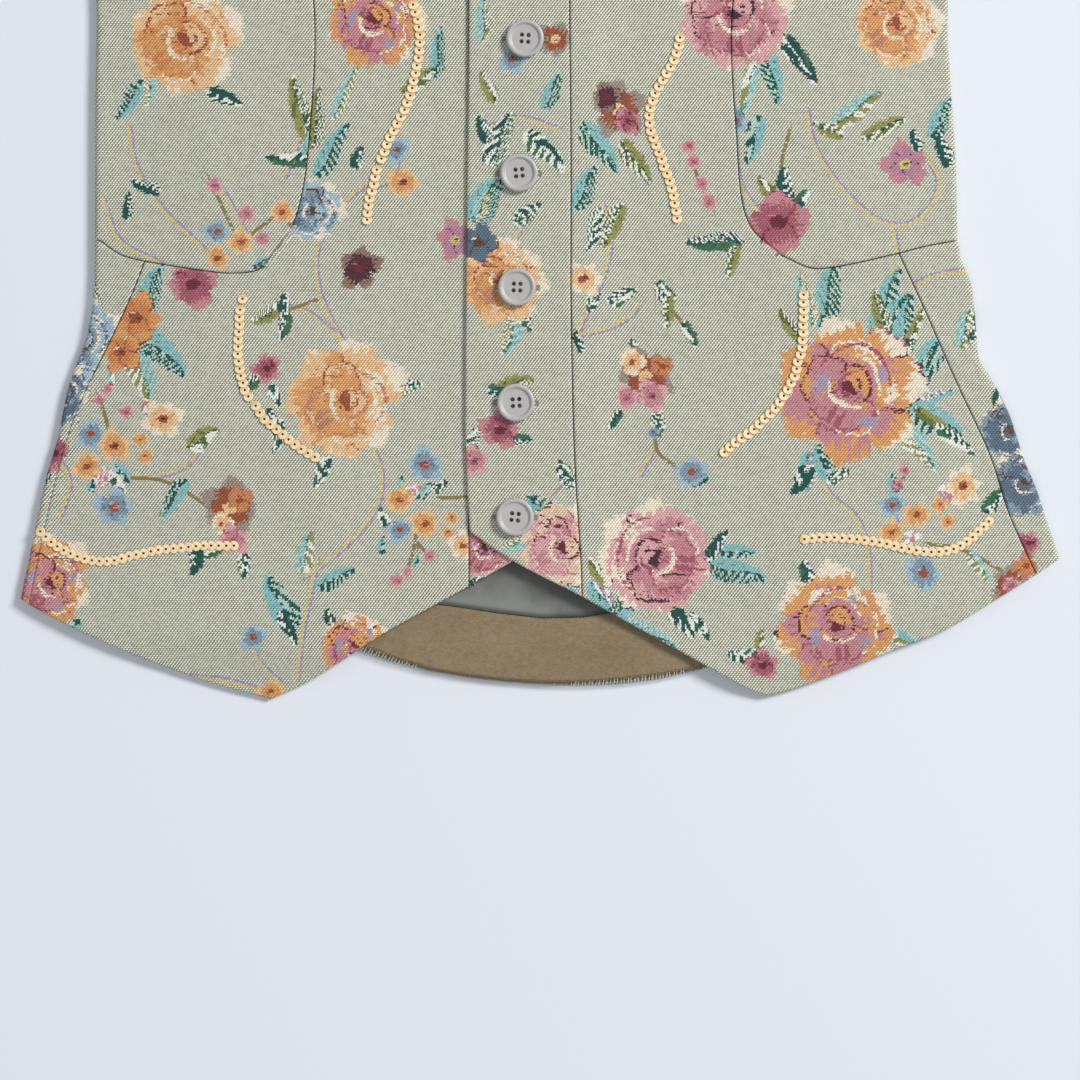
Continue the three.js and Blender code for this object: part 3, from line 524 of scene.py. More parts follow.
class ColourSettings(bpy.types.PropertyGroup):
    """Colours of everything but the figured yarns."""

    ground: colour_setting("Ground", "Ground weave", 220, 221, 205)
    speck: colour_setting("Specks", "Light floats of the ground weave", 252, 252, 240)
    shade: colour_setting("Shade", "Dark thread between the floats", 140, 141, 121)
    lining: colour_setting("Lining", "Satin lining", 137, 139, 132)
    facing: colour_setting("Facing", "Hem facing", 140, 123, 97)
    button: colour_setting("Buttons", "Buttons", 182, 180, 178)
    sequin: colour_setting("Sequins", "Sequins", 254, 226, 178)
    floor: colour_setting("Floor", "Surface below the garment", 226, 231, 238)


class StageSettings(bpy.types.PropertyGroup):
    """Camera and lights."""

    frame_width: length_setting("Frame", "Width of what the camera sees", 0.486, min=0.1, max=2)
    centre_y: length_setting("Centre", "Middle of what the camera sees, along the garment", -0.228)
    key: bpy.props.FloatProperty(
        name="Key light", description="Power of the main light", default=185.0, min=0)
    fill: bpy.props.FloatProperty(name="Fill light", description="Strength of the sky", default=0.32, min=0)


# ---------- shader helper ----------
def arithmetic(operation, swapped=False):
    """An operator of Value that adds a Math node."""
    def apply(self, other):
        return self.shader.math(operation, *((other, self) if swapped else (self, other)))
    return apply


class Value:
    """A number in a shader, on which arithmetic adds the Math nodes."""

    def __init__(self, shader, socket):
        self.shader, self.socket = shader, socket

    __add__ = __radd__ = arithmetic("ADD")
    __mul__ = __rmul__ = arithmetic("MULTIPLY")
    __sub__, __rsub__ = arithmetic("SUBTRACT"), arithmetic("SUBTRACT", swapped=True)
    __truediv__, __rtruediv__ = arithmetic("DIVIDE"), arithmetic("DIVIDE", swapped=True)
    __gt__, __lt__ = arithmetic("GREATER_THAN"), arithmetic("LESS_THAN")


class Shader:
    """A material with a Principled surface, and the one method that adds any other node."""

    def __init__(self, name, **constants):
        self.material = bpy.data.materials.new(name)
        self.material.use_nodes = True
        self.tree = self.material.node_tree
        self.surface = next(n for n in self.tree.nodes if n.type == "BSDF_PRINCIPLED")
        for socket, value in constants.items():
            self.surface.inputs[socket.replace("_", " ")].default_value = value

    def node(self, kind, settings=None, inputs=None):
        node = self.tree.nodes.new(kind)
        for name, value in (settings or {}).items():
            setattr(node, name, value)
        for key, value in (inputs or {}).items():
            if isinstance(value, Value):
                self.tree.links.new(value.socket, node.inputs[key])
            else:
                node.inputs[key].default_value = value
        return node

    def out(self, node, output=0):
        return Value(self, node.outputs[output])

    def math(self, operation, *values):
        return self.out(self.node("ShaderNodeMath", {"operation": operation}, dict(enumerate(values))))

    def floor(self, value):
        return self.math("FLOOR", value)

    def scaled(self, vector, factor):
        """A colour or vector times one number that varies."""
        return self.out(self.node("ShaderNodeVectorMath", {"operation": "SCALE"}, {0: vector, 3: factor}))

    def attribute(self, name, output="Fac"):
        return self.out(self.node("ShaderNodeAttribute", {"attribute_name": name}), output)

    def place(self):
        """Where the surface is on its own piece, in metres."""
        return self.out(self.node("ShaderNodeTexCoord"), "Object")

    def cloth(self):
        """Where the surface is in its flat cloth, in millimetres: as a vector, x and y."""
        place = self.attribute("cloth", "Vector")
        node = self.node("ShaderNodeSeparateXYZ", inputs={0: place})
        return place, self.out(node, 0), self.out(node, 1)

    def noise(self, x, y):
        """A fixed random number for each pair of whole numbers."""
        place = self.out(self.node("ShaderNodeCombineXYZ", inputs={0: x, 1: y}))
        return self.out(self.node("ShaderNodeTexWhiteNoise", {"noise_dimensions": "2D"}, {0: place}))

    def blend(self, factor, first, second):
        first, second = (c if isinstance(c, Value) else (*c, 1.0) for c in (first, second))
        mix = self.node("ShaderNodeMix", {"data_type": "RGBA"}, {0: factor, 6: first, 7: second})
        return self.out(mix, 2)

    def cloud(self, vector, scale, detail):
        return self.out(self.node("ShaderNodeTexNoise", inputs={
            "Vector": vector, "Scale": scale, "Detail": detail}))

    def ease(self, value, start, end, top):
        """Rises smoothly from 0 at the start to its top at the end."""
        return self.out(self.node("ShaderNodeMapRange", {"interpolation_type": "SMOOTHSTEP"}, {
            "Value": value, "From Min": start, "From Max": end, "To Min": 0.0, "To Max": top}))

    def finish(self, colour, roughness=None, height=None, strength=0.3, distance=0.0002):
        self.tree.links.new(colour.socket, self.surface.inputs["Base Color"])
        if roughness is not None:
            self.tree.links.new(roughness.socket, self.surface.inputs["Roughness"])
        if height is not None:
            bump = self.node("ShaderNodeBump", inputs={
                "Strength": strength, "Distance": distance, "Height": height})
            self.tree.links.new(bump.outputs[0], self.surface.inputs["Normal"])
        return self.material


# ---------- runs, rails and nets ----------
def run(knots, fractions):
    """Points at these fractions of the length of a smooth curve through the knots."""
    knots = np.asarray(knots, float)
    ends = np.vstack([2 * knots[0] - knots[1], knots, 2 * knots[-1] - knots[-2]])
    steps = ((ends[1:] - ends[:-1]) ** 2).sum(1) ** 0.25

    def at(t):
        i = np.minimum(t.astype(int), len(knots) - 2)
        w = (t - i)[:, None]
        p0, p1, p2, p3 = (ends[i + k] for k in range(4))
        d0, d1, d2 = (steps[i + k][:, None] for k in range(3))
        start = ((p1 - p0) / d0 - (p2 - p0) / (d0 + d1) + (p2 - p1) / d1) * d1
        end = ((p2 - p1) / d1 - (p3 - p1) / (d1 + d2) + (p3 - p2) / d2) * d1
        return (p1 + start * w + (3 * (p2 - p1) - 2 * start - end) * w ** 2
                + (2 * (p1 - p2) + start + end) * w ** 3)

    samples = np.linspace(0, len(knots) - 1, 201)
    lengths = np.append(0, np.cumsum(np.linalg.norm(np.diff(at(samples), axis=0), axis=1)))
    return at(np.interp(np.asarray(fractions) * lengths[-1], lengths, samples))


def even_run(knots, count):
    return run(knots, np.linspace(0, 1, count))


def rail(*parts):
    """Joined runs, each as (knots, coarse cells, fractions): their points and how far along each is."""
    total = sum(cells for _, cells, _ in parts)
    points, places, before = [], [], 0
    for knots, cells, fractions in parts:
        keep = slice(1 if points else 0, None)
        points.append(run(knots, fractions)[keep])
        places.append((before + cells * np.asarray(fractions)[keep]) / total)
        before += cells
    return np.vstack(points), np.concatenate(places)


def fill(bottom, top, inner, outer):
    """Rows of points between four rails."""
    u, v = bottom[1][None, :, None], inner[1][:, None, None]
    low, high = bottom[0][None], top[0][None]
    near, far = inner[0][:, None], outer[0][:, None]
    corners = ((1 - v) * ((1 - u) * low[:, :1] + u * low[:, -1:])
               + v * ((1 - u) * high[:, :1] + u * high[:, -1:]))
    return (1 - v) * low + v * high + (1 - u) * near + u * far - corners


def grid_cells(index):
    """Four-sided cells of a grid of point numbers."""
    return np.stack([index[:-1, :-1], index[:-1, 1:], index[1:, 1:], index[1:, :-1]], -1).reshape(-1, 4)


def ring_cells(rings):
    """Four-sided cells between closed rings of point numbers."""
    return np.vstack([np.stack([a, b, np.roll(b, -1), np.roll(a, -1)], -1) for a, b in zip(rings, rings[1:])])


def ring_numbers(rings, sides):
    return np.arange(rings * sides).reshape(rings, sides)


def circle(sides):
    turns = np.arange(sides) * 2 * math.pi / sides
    return np.stack([np.cos(turns), np.sin(turns)], -1)


def turned_points(profile, sides):
    """Points of a lathe-turned shape from the radius and height of each of its rings."""
    return np.vstack([np.column_stack([circle(sides) * r, np.full(sides, z)]) for r, z in profile])


def upright(flat, cells):
    """The cells turned so that they run anticlockwise in the flat cloth."""
    a, b, d = flat[cells[:, 0]], flat[cells[:, 1]], flat[cells[:, 3]]
    turn = (b[:, 0] - a[:, 0]) * (d[:, 1] - a[:, 1]) - (b[:, 1] - a[:, 1]) * (d[:, 0] - a[:, 0])
    return cells if turn.sum() > 0 else cells[:, ::-1]


def boundary(cells):
    """Point numbers round the edge of a net, with the cloth on the left."""
    ends = np.stack([cells, np.roll(cells, -1, axis=1)], -1).reshape(-1, 2)
    size = int(cells.max()) + 1
    forward, backward = ends[:, 0] * size + ends[:, 1], ends[:, 1] * size + ends[:, 0]
    free = ends[~np.isin(forward, backward)]
    following = dict(free.tolist())
    order = [int(free[0, 0])]
    while following[order[-1]] != order[0]:
        order.append(following[order[-1]])
    return np.array(order)


def unit(vectors):
    return vectors / np.maximum(np.linalg.norm(vectors, axis=-1, keepdims=True), 1e-9)


def path_ways(points):
    """Directions along a path."""
    return unit(np.gradient(points, axis=0))


def smooth(start, end, value):
    k = np.clip((value - start) / (end - start), 0, 1)
    return k * k * (3 - 2 * k)


def normals_of(points, cells):
    a, b, c, d = (points[cells[:, k]] for k in range(4))
    faces = unit(np.cross(c - a, d - b))
    total = np.zeros_like(points)
    for k in range(4):
        np.add.at(total, cells[:, k], faces)
    return unit(total)


# ---------- side folds and the cloth's height ----------
def coarse_fold(half):
    low, high = even_run(half["side_low"], CELLS["low"] + 1), even_run(half["side_high"], CELLS["high"] + 1)
    line = np.vstack([low, high[1:]])
    along = unit(np.vstack([line[1] - line[0], line[2:] - line[:-2], line[-1] - line[-2]]))
    return line, half["outward"] * np.stack([along[:, 1], -along[:, 0]], -1)


HALVES = {"L": LEFT, "R": RIGHT}
FOLD_LINES = {side: coarse_fold(half) for side, half in HALVES.items()}
CREASE_LINES = {side: line - out * FOLD_INSET for side, (line, out) in FOLD_LINES.items()}


def fold_rows(side, part, fractions):
    """The crease and the outward direction at these fractions of the low or high part of a side fold."""
    before = 0 if part == "low" else CELLS["low"]
    outs = FOLD_LINES[side][1]
    at = before + np.asarray(fractions) * CELLS[part]
    out = unit(np.stack([np.interp(at, np.arange(len(outs)), outs[:, k]) for k in (0, 1)], -1))
    return run(HALVES[side]["side_" + part], fractions) - out * FOLD_INSET, out


def inset_fold(side, inset):
    line, out = FOLD_LINES[side]
    return line - out * inset


HEM_LINE = even_run([inset_fold("L", SIDE_TURN)[0], *BACK_HEM, inset_fold("R", SIDE_TURN)[0]], HEM_POINTS)
FACING_LINE = even_run(FACING_SEAM, FACING_POINTS)


def hills(x, y, rows):
    """Height of a table of soft folds."""
    total = np.zeros_like(x)
    for middle_x, middle_y, turn, length, width, height in rows:
        c, s = math.cos(math.radians(turn)), math.sin(math.radians(turn))
        along = (x - middle_x) * c + (y - middle_y) * s
        across = (y - middle_y) * c - (x - middle_x) * s
        total += height * np.exp(-(along / length) ** 2 - (across / width) ** 2)
    return total


def front_height(x, y, upper):
    """Height of the middle of the cloth of either front."""
    left, right = (np.interp(y, CREASE_LINES[s][:, 1], CREASE_LINES[s][:, 0]) for s in "LR")
    from_fold = np.minimum(x - left, right - x)
    inside = smooth(0, CROWN["run"], from_fold)
    loose = smooth(*PLACKET["span"], np.abs(x - PLACKET["x"]))
    creases = smooth(0, CREASES_START, from_fold) * hills(x, y, CREASES)
    flat = FRONT_MID + inside * (CROWN["height"] + loose * hills(x, y, FOLDS)) + creases
    past = np.interp(x, HEM_LINE[:, 0], HEM_LINE[:, 1]) - y
    droop = smooth(*DROOP["span"], past) * smooth(0, CROWN["run"] / 2, from_fold)
    lap = LAP["rise"] * (1 - smooth(*LAP["span"], x)) if upper else 0.0
    return flat + lap - droop * (flat - DROOP["height"])


def top_of_front(x, y, upper):
    """Height of the outside of a front at one place."""
    x, y = np.atleast_1d(np.asarray(x, float)), np.atleast_1d(np.asarray(y, float))
    return front_height(x, y, upper)[0] + CLOTH / 2


def facing_wave(x, y):
    """Height of the facing's slight waves and folds."""
    return 0.10 * np.sin(x / 11 + y / 7) + 0.07 * np.sin(x / 4.3 - y / 9) - 0.1 + hills(x, y, FACING_FOLDS)


def lining_wave(x, y):
    """Height of the lining's slight waves."""
    return 0.16 * np.sin(x / 13 + 0.7 * np.sin(y / 31)) + 0.10 * np.sin(x / 5.1 - y / 19) - 0.16


def hem_reveal(x):
    """How far the back's hem stands out past its facing: most near the tips of the fronts."""
    ends = np.exp(-((x + 76) / 16) ** 2) + 0.8 * np.exp(-((x - 46) / 24) ** 2)
    return 0.55 + 0.2 * np.sin(x / 17) + 1.0 * ends


class Net:
    """A cut piece laid flat, with the frame of the side fold that each point past it belongs to."""

    def __init__(self, *grids, folds=None):
        starts = np.cumsum([0] + [grid.size // 2 for grid in grids])
        index = [start + np.arange(grid.size // 2).reshape(grid.shape[:2])
                 for start, grid in zip(starts, grids)]
        self.flat = np.vstack([grid.reshape(-1, 2) for grid in grids])
        if len(index) == 2:                      # the second grid stands on part of the first one's top row
            index[1][0] = index[0][-1, :index[1].shape[1]]
        cells = np.vstack([grid_cells(numbers) for numbers in index])
        used, cells = np.unique(cells, return_inverse=True)
        self.flat, self.cells = self.flat[used], upright(self.flat[used], cells.reshape(-1, 4))
        self.folds = folds
        self.loop = boundary(self.cells)
        ring = self.flat[self.loop]
        along = unit(np.roll(ring, -1, 0) - ring)
        inward = np.stack([-along[:, 1], along[:, 0]], -1)
        before = np.roll(inward, 1, 0)
        reach = GAP / 2 / np.maximum(1 + (before * inward).sum(1), 0.2)
        self.flat[self.loop] = ring + (before + inward) * reach[:, None]

    def edge_distance(self):
        """How far each point of the flat cloth is from its edge."""
        ring = self.flat[self.loop]
        dense = np.concatenate([ring + (np.roll(ring, -1, 0) - ring) * k / 4 for k in range(4)])
        tree = KDTree(len(dense))
        for i, (x, y) in enumerate(dense.tolist()):
            tree.insert((x, y, 0.0), i)
        tree.balance()
        return np.array([tree.find((x, y, 0.0))[2] for x, y in self.flat.tolist()])


def raise_front(net, upper):
    """Middle of the cloth in space: on the garment's height, or turned round the side fold."""
    flat = net.flat
    points = np.column_stack([flat, front_height(flat[:, 0], flat[:, 1], upper)])
    if net.folds is None:
        return points
    crease, out = net.folds
    beyond = ((flat - crease) * out).sum(1)
    up = np.column_stack([-out[:, 1], out[:, 0]])
    along = ((flat - crease) * up).sum(1)
    angle = np.clip(beyond / FOLD_RADIUS, 0, math.pi)
    reach = FOLD_RADIUS * np.sin(angle) - np.maximum(beyond - math.pi * FOLD_RADIUS, 0)
    turned = np.column_stack([crease + out * reach[:, None] + up * along[:, None],
                              CLOTH / 2 + FOLD_RADIUS * (1 + np.cos(angle))])
    past = beyond >= 0
    points[past] = turned[past]
    return points


def shell(net, middle, half, roll, under, flip=False, ripple=0.0):
    """The outer face of a piece with its edge rolled in: points, cells and places in the flat cloth."""
    cells = net.cells[:, ::-1] if flip else net.cells
    loop = net.loop[::-1] if flip else net.loop
    normals = normals_of(middle, cells)
    edge = net.edge_distance()
    rise = half * np.sqrt(1 - (1 - np.clip(edge / roll, 0, 1)) ** 2)
    if ripple:                                   # sewing draws the cloth in along its seams
        x, y = net.flat[:, 0], net.flat[:, 1]
        wave = np.sin(0.47 * x + 0.39 * y + 1.7 * np.sin(0.11 * x)) + 0.6 * np.sin(0.91 * y - 0.33 * x)
        rise = rise + ripple * wave * np.exp(-((edge - PUCKERS["inset"]) / PUCKERS["width"]) ** 2)
    ring, up = middle[loop], normals[loop]
    outward = unit(np.cross(unit(np.roll(ring, -1, 0) - np.roll(ring, 1, 0)), up))
    flat_ring = net.flat[loop]
    flat_along = unit(np.roll(flat_ring, -1, 0) - np.roll(flat_ring, 1, 0))
    flat_out = np.stack([flat_along[:, 1], -flat_along[:, 0]], -1) * (-1 if flip else 1)
    # the rim's rows: how far out, how high, and how far past the edge in the flat cloth
    rim = [(-0.3 * half, -0.7 * half, 0.8 * half), (-half, -half, 1.6 * half),
           (-half - under, -half, 1.6 * half + under)]
    points = [middle + normals * rise[:, None],
              *[ring + outward * out + up * height for out, height, _ in rim]]
    flat = [net.flat, *[flat_ring + flat_out * spread for *_, spread in rim]]
    rings = [loop, *(len(middle) + ring_numbers(len(rim), len(loop)))]
    return np.vstack(points), np.vstack([cells, ring_cells(rings)]), np.vstack(flat)


# ---------- painting the pattern ----------
class Chart:
    """Yarns of a piece: two for each cell, and how far each corner is from the first to the second."""

    def __init__(self, flat, cells):
        self.corners = flat[cells]
        self.middle = self.corners.mean(1)
        self.first = np.zeros(len(cells), int)
        self.second = np.zeros(len(cells), int)
        self.share = np.zeros((len(cells), 4))
        self.lattice = np.zeros(len(cells))

    def near(self, x, y, reach):
        return np.flatnonzero((np.abs(self.middle - (x, y)) < reach).all(1))

    def lay(self, cells, distance, tone, yarns, ragged, inside_figure=False, lattice=0.0):
        """Weaves a shape, whose distance is negative inside and whose tone picks its yarns."""
        numbers = np.array([YARN_NAMES.index(name) for name in yarns])
        last = max(len(yarns) - 2, 0)
        tone = np.clip(np.broadcast_to(tone, distance.shape), 0, len(yarns) - 1)
        low = np.clip(np.floor(tone.mean(1)), 0, last).astype(int)
        own = 0.5 + (tone - low[:, None] - 0.5) * (1.0 if lattice else 1.7)
        first, second = numbers[low], numbers[np.minimum(low + 1, len(yarns) - 1)]
        allowed = np.ones(len(cells), bool)
        if inside_figure:
            allowed = (self.first[cells] > 0) & (self.second[cells] > 0)
        full = allowed & (distance.max(1) < -ragged * 0.6)
        partly = allowed & ~full & (distance.min(1) < ragged * 0.6)
        below = np.where(self.share[cells].mean(1) > 0.5, self.second[cells], self.first[cells])
        above = np.where(own.mean(1) > 0.5, second, first)
        pick = cells[full]
        self.first[pick], self.second[pick], self.share[pick] = first[full], second[full], own[full]
        self.lattice[pick] = lattice
        pick = cells[partly]
        self.first[pick], self.second[pick] = below[partly], above[partly]
        self.share[pick] = np.clip(0.5 - distance[partly] / (2 * ragged), -0.5, 1.5)
        self.lattice[pick] = 0.0

    def spot(self, cells, along, across, long, wide, yarn, ragged, wave=0.0, count=5, inside_figure=False):
        """Weaves an oval of one yarn."""
        self.lay(cells, oval(along, across, long, wide, wave, count), 0.0, [yarn], ragged, inside_figure)

    def local(self, cells, x, y, turn):
        """Corners of cells as seen from a place, along and across a direction."""
        c, s = math.cos(turn), math.sin(turn)
        dx, dy = self.corners[cells, :, 0] - x, self.corners[cells, :, 1] - y
        return dx * c + dy * s, dy * c - dx * s


def saw(value):
    """A zigzag between -1 and 1 with a period of 1."""
    return np.abs((value % 1.0) * 2 - 1) * 2 - 1


def oval(along, across, long, wide, wave=0.0, count=5, phase=0.0):
    """Distance to an oval with a wavy edge."""
    angle = np.arctan2(across / wide, along / long)
    size = np.hypot(along / long, across / wide) - 1
    return (size - wave * np.sin(count * angle + phase)) * min(long, wide)


def weave_rose(chart, cells, x, y, radius, turn, kind):
    """A rose that is lit from its turn: outer petals, inner petals, a cup, a front petal and dark picks.

    Its parts are placed and sized in shares of its radius, and single threads in millimetres."""
    yarns = BLOOMS[kind]
    dark, deep, _, light, edge = yarns
    turn = math.radians(turn)
    fingers = 2.4 + 0.02 * radius

    def place_at(angle, away):
        return x + radius * away * math.cos(angle), y + radius * away * math.sin(angle)

    def petal(angle, away, long, wide, base, span, line, seed, lip=False):
        """One petal as seen from the rose's middle: its tone goes from its base to its tip."""
        along, across = chart.local(cells, *place_at(angle, away), angle)
        flame = saw(across / fingers + seed) * saw(across / (fingers * 2.7) + 0.4 * seed)
        edge_at = oval(along, across, radius * long, radius * wide, 0.08, 5, 3.1 * seed)
        edge_at = edge_at + 0.05 * radius * flame
        if line:
            chart.lay(cells, edge_at - max(radius * 0.025, 0.5), 0.0, [line], 1.0, inside_figure=True)
        tip = (along / (radius * long) + 1) / 2
        tip = 1 - tip if lip else tip
        tone = base + span * np.clip(tip, 0, 1.1) ** (3.0 if lip else 1.5)
        patch = 0.45 * np.sin(along / radius * 6 + 2.1 * seed) * np.sin(across / radius * 7 + seed)
        chart.lay(cells, edge_at, tone + 0.7 * flame + patch, yarns[1:], 1.5)

    for k, line in enumerate((deep, None, dark, None, deep, None, dark)):
        odd = math.sin(12.9 * k + radius)
        angle = turn + (k + 0.3 * odd) * 2 * math.pi / 7
        span = 2.5 + 0.9 * math.cos(angle - turn)
        petal(angle, 0.60 + 0.07 * odd, 0.38 + 0.05 * odd, 0.38, 0.5, span, line, k + radius)
    for k, line in enumerate((edge, dark, deep, edge, None)):
        odd = math.sin(7.7 * k + 2 * radius)
        angle = turn + 0.6 + (k + 0.25 * odd) * 2 * math.pi / 5
        span = 2.0 + 0.8 * math.cos(angle - turn)
        petal(angle, 0.36, 0.31, 0.34 + 0.05 * odd, 0.4, span, line, 3.0 * k + radius)
    petal(turn + math.pi + 0.35, 0.26, 0.33, 0.44, 0.8, 2.6, deep, 1.7, lip=True)

    along, across = chart.local(cells, *place_at(turn, 0.06), turn)
    heading = np.arctan2(across, along)

    def curl(start, end, away, thick, yarn):
        """A tapered arc about the cup, between two angles from the rose's turn."""
        ring = radius * away
        centre, half = math.radians(start + end) / 2, math.radians(end - start) / 2
        off = np.abs((heading - centre + math.pi) % (2 * math.pi) - math.pi) / half
        taper = np.sqrt(np.clip(1 - off ** 2, 0, 1)) * (1 + 0.35 * saw(heading * ring / 2.0))
        wavy = ring * (1 + 0.07 * np.sin(3 * heading + radius))
        distance = np.where(off < 1, np.abs(np.hypot(along, across) - wavy) - radius * thick * taper, FAR)
        chart.lay(cells, distance, 0.0, [yarn], 0.9, inside_figure=True)

    cup = oval(along, across, radius * 0.27, radius * 0.24, 0.1, 3, radius)
    chart.lay(cells, cup, 0.6 + 1.6 * (along > 0) + 0.5 * saw(across / 2.3), yarns[1:4], 1.1)
    first, last = (deep, dark) if kind == "orange" else (dark, deep)
    curl(-150, 95, 0.26, 0.022, first)
    curl(120, 250, 0.33, 0.035, edge)
    curl(-70, 45, 0.40, 0.03, edge)
    curl(-60, 120, 0.56, 0.022, deep)
    curl(20, 230, 0.18, 0.024, last)
    for back, left, long, wide, yarn, *rim in ((0.07, -0.02, 0.08, 0.13, dark, 1.2, 0.2, 3),
                                               (-0.06, 0.03, 0.07, 0.09, light, 1.0, 0.15, 4)):
        chart.spot(cells, along + radius * back, across + radius * left, radius * long, radius * wide,
                   yarn, *rim)
    curl(-120, 30, 0.11, 0.02, dark)
    # dark picks: beside the cup, below the front petal and on two outer petals
    for angle, away, count, reach, yarn in ((2.6, 0.22, 6, 0.10, dark), (3.5, 0.56, 7, 0.12, deep),
                                            (1.9, 0.62, 6, 0.10, dark), (4.9, 0.50, 5, 0.07, deep)):
        px, py = place_at(turn + angle, away)
        for k in range(count):
            sway = (k - count / 2) * 0.05 * radius
            at = px + sway + 0.04 * radius * math.sin(9.1 * k), py - (k - count / 2) * PICK
            long = radius * reach * (1 + 0.4 * math.sin(5.3 * k))
            chart.spot(cells, *chart.local(cells, *at, 0.0), long, PICK_HALF, yarn, 0.7, inside_figure=True)
    if kind == "mixed":
        for angle, away, long, wide in ((2.2, 0.42, 0.16, 0.10), (4.4, 0.55, 0.14, 0.09),
                                        (5.9, 0.5, 0.10, 0.07)):
            patch = chart.local(cells, *place_at(turn + angle, away), turn + angle + 1.2)
            chart.spot(cells, *patch, radius * long, radius * wide, "lilac", 1.4, 0.15, inside_figure=True)


def weave_small(chart, cells, x, y, radius, petals, turn, kind):
    """A small bloom: outlined petals, a heart and, on all but the smallest, its two picks."""
    yarns = BLOOMS[kind]
    for k in range(petals):
        odd = math.sin(8.3 * k + x + y)
        angle = math.radians(turn) + (k + 0.12 * odd) * 2 * math.pi / petals
        away = radius * (0.55 + 0.08 * odd)
        along, across = chart.local(cells, x + away * math.cos(angle), y + away * math.sin(angle), angle)
        petal = oval(along, across, radius * (0.50 + 0.05 * odd), radius * 2.1 / petals, 0.09, 4, k + x)
        tip = np.clip((along / (radius * 0.46) + 1) / 2, 0, 1)
        chart.lay(cells, petal - 0.35, 0.0, yarns[:1], 0.7, inside_figure=True)
        chart.lay(cells, petal, 0.5 + 1.7 * tip + 0.45 * saw(across / 1.9 + 0.3 * k), yarns, 1.1)
    along, across = chart.local(cells, x, y, 0)
    chart.spot(cells, along, across, radius * 0.27, radius * 0.22, HEARTS.get(kind, yarns[0]), 0.8, 0.1)
    if radius > 7:
        yarn = "pink" if kind == "blue" else "plum"
        chart.spot(cells, along - radius * 0.08, across, radius * 0.12, PICK_HALF, yarn, 0.6)
        chart.spot(cells, along + radius * 0.2, across - radius * 0.2, radius * 0.12, 0.5, yarns[-1], 0.6)


def weave_leaf(chart, cells, x, y, length, width, turn, kind):
    """A toothed leaf of two halves, with a rim, side veins and a midrib."""
    one, other, rib = LEAVES[kind]
    width = width * THREAD
    along, across = chart.local(cells, x, y, math.radians(turn))
    across = across - 0.10 * width * np.sin(along / length * 5.0)
    half = length / 2
    place = np.clip(along / half, -1, 1)
    breadth = width / 2 * np.sqrt(1 - place ** 2) * (1 - 0.35 * place)
    teeth = 0.10 * width * (1 - ((along * 0.42) % 1.0)) * (np.abs(place) < 0.86)
    edge = np.maximum(np.abs(across) - breadth + teeth, np.abs(along) - half)
    slope = along - np.abs(across) * 1.3
    vein = np.abs(saw(slope / 3.4))
    upper_half = across.mean(1) > 0.03 * width
    for chosen, pair in ((upper_half, one), (~upper_half, other)):
        if chosen.any():
            checked = "white" in pair or "mint" in pair
            tone = 0.5 + 0.25 * (vein[chosen] - 0.5) if checked else 0.1 + 0.5 * (vein[chosen] < 0.3)
            chart.lay(cells[chosen], edge[chosen], tone, pair, 1.0, lattice=float(checked))
    rim = np.maximum(np.abs(edge + 0.5) - 0.35, 0.2 * half - along)
    chart.lay(cells, rim, 0.0, [rib], 0.7, inside_figure=True)
    if length > 15:
        branch = np.abs(saw(slope / 4.6) + 0.7) * 2.0 - 0.5
        yarn = {"frond": "violet", "teal": "moss"}.get(kind, rib)
        chart.lay(cells, np.maximum(branch, edge + 0.9), 0.0, [yarn], 0.6, inside_figure=True)
    midrib = np.abs(across - 0.05 * width * np.sin(3 * place)) - 0.035 * width
    chart.lay(cells, np.maximum(midrib, np.abs(along) - half * 0.9), 0.0, [rib], 0.7)


def path_distance(points, path):
    """Signed distance to a path for each point: positive on its left."""
    best = np.full(len(points), FAR)
    for a, b in zip(path[:-1], path[1:]):
        along = b - a
        length = math.hypot(*along)
        along = along / length
        away = points - a
        t = np.clip(away @ along, 0, length)
        side = along[0] * away[:, 1] - along[1] * away[:, 0]
        gap = np.hypot(*(away - t[:, None] * along).T)
        nearer = gap < np.abs(best)
        best[nearer] = np.where(side < 0, -gap, gap)[nearer]
    return best


def nearest_path(flat, paths):
    """Signed distance from each point of the flat cloth to the nearest of some charted paths."""
    nearest = np.full(len(flat), FAR)
    for path in paths:
        path = even_run([from_chart(*place) for place in path], 4 * len(path))
        low, high = path.min(0) - 4, path.max(0) + 4
        close = np.flatnonzero(((flat > low) & (flat < high)).all(1))
        distance = path_distance(flat[close], path)
        nearer = np.abs(distance) < np.abs(nearest[close])
        nearest[close[nearer]] = distance[nearer]
    return nearest


def repeated(kind, code):
    """Motifs of one kind in the repeat, as far down as it goes on a piece."""
    last_row = REPEAT["back_end" if code == "BACK" else "front_end"]
    found = []
    for i, j in product(range(-3, 5), range(-4, 5)):
        column = REPEAT["middle"][0] + (i + j % 2 / 2) * REPEAT["columns"]
        row = REPEAT["middle"][1] + j * REPEAT["rows"]
        for motif in REPEAT[kind]:
            path = motif if kind == "vines" else [motif[:2]]
            path = [(column + dx, row + dy) for dx, dy in path]
            if REPEAT["first_row"] < path[0][1] < last_row and 0 < path[0][0] < 2 * CHART_COLUMN:
                found.append(path if kind == "vines" else (*path[0], *motif[2:]))
    return found


def weave(chart, code):
    """Weaves the leaves, roses and small blooms of a piece."""
    for kind, (table, weave_one, reach) in MOTIFS.items():
        for column, row, size, *rest in repeated(kind, code) + table.get(code, []):
            x, y = from_chart(column, row)
            cells = chart.near(x, y, size * THREAD * reach)
            if len(cells):
                weave_one(chart, cells, x, y, size * THREAD, *rest)


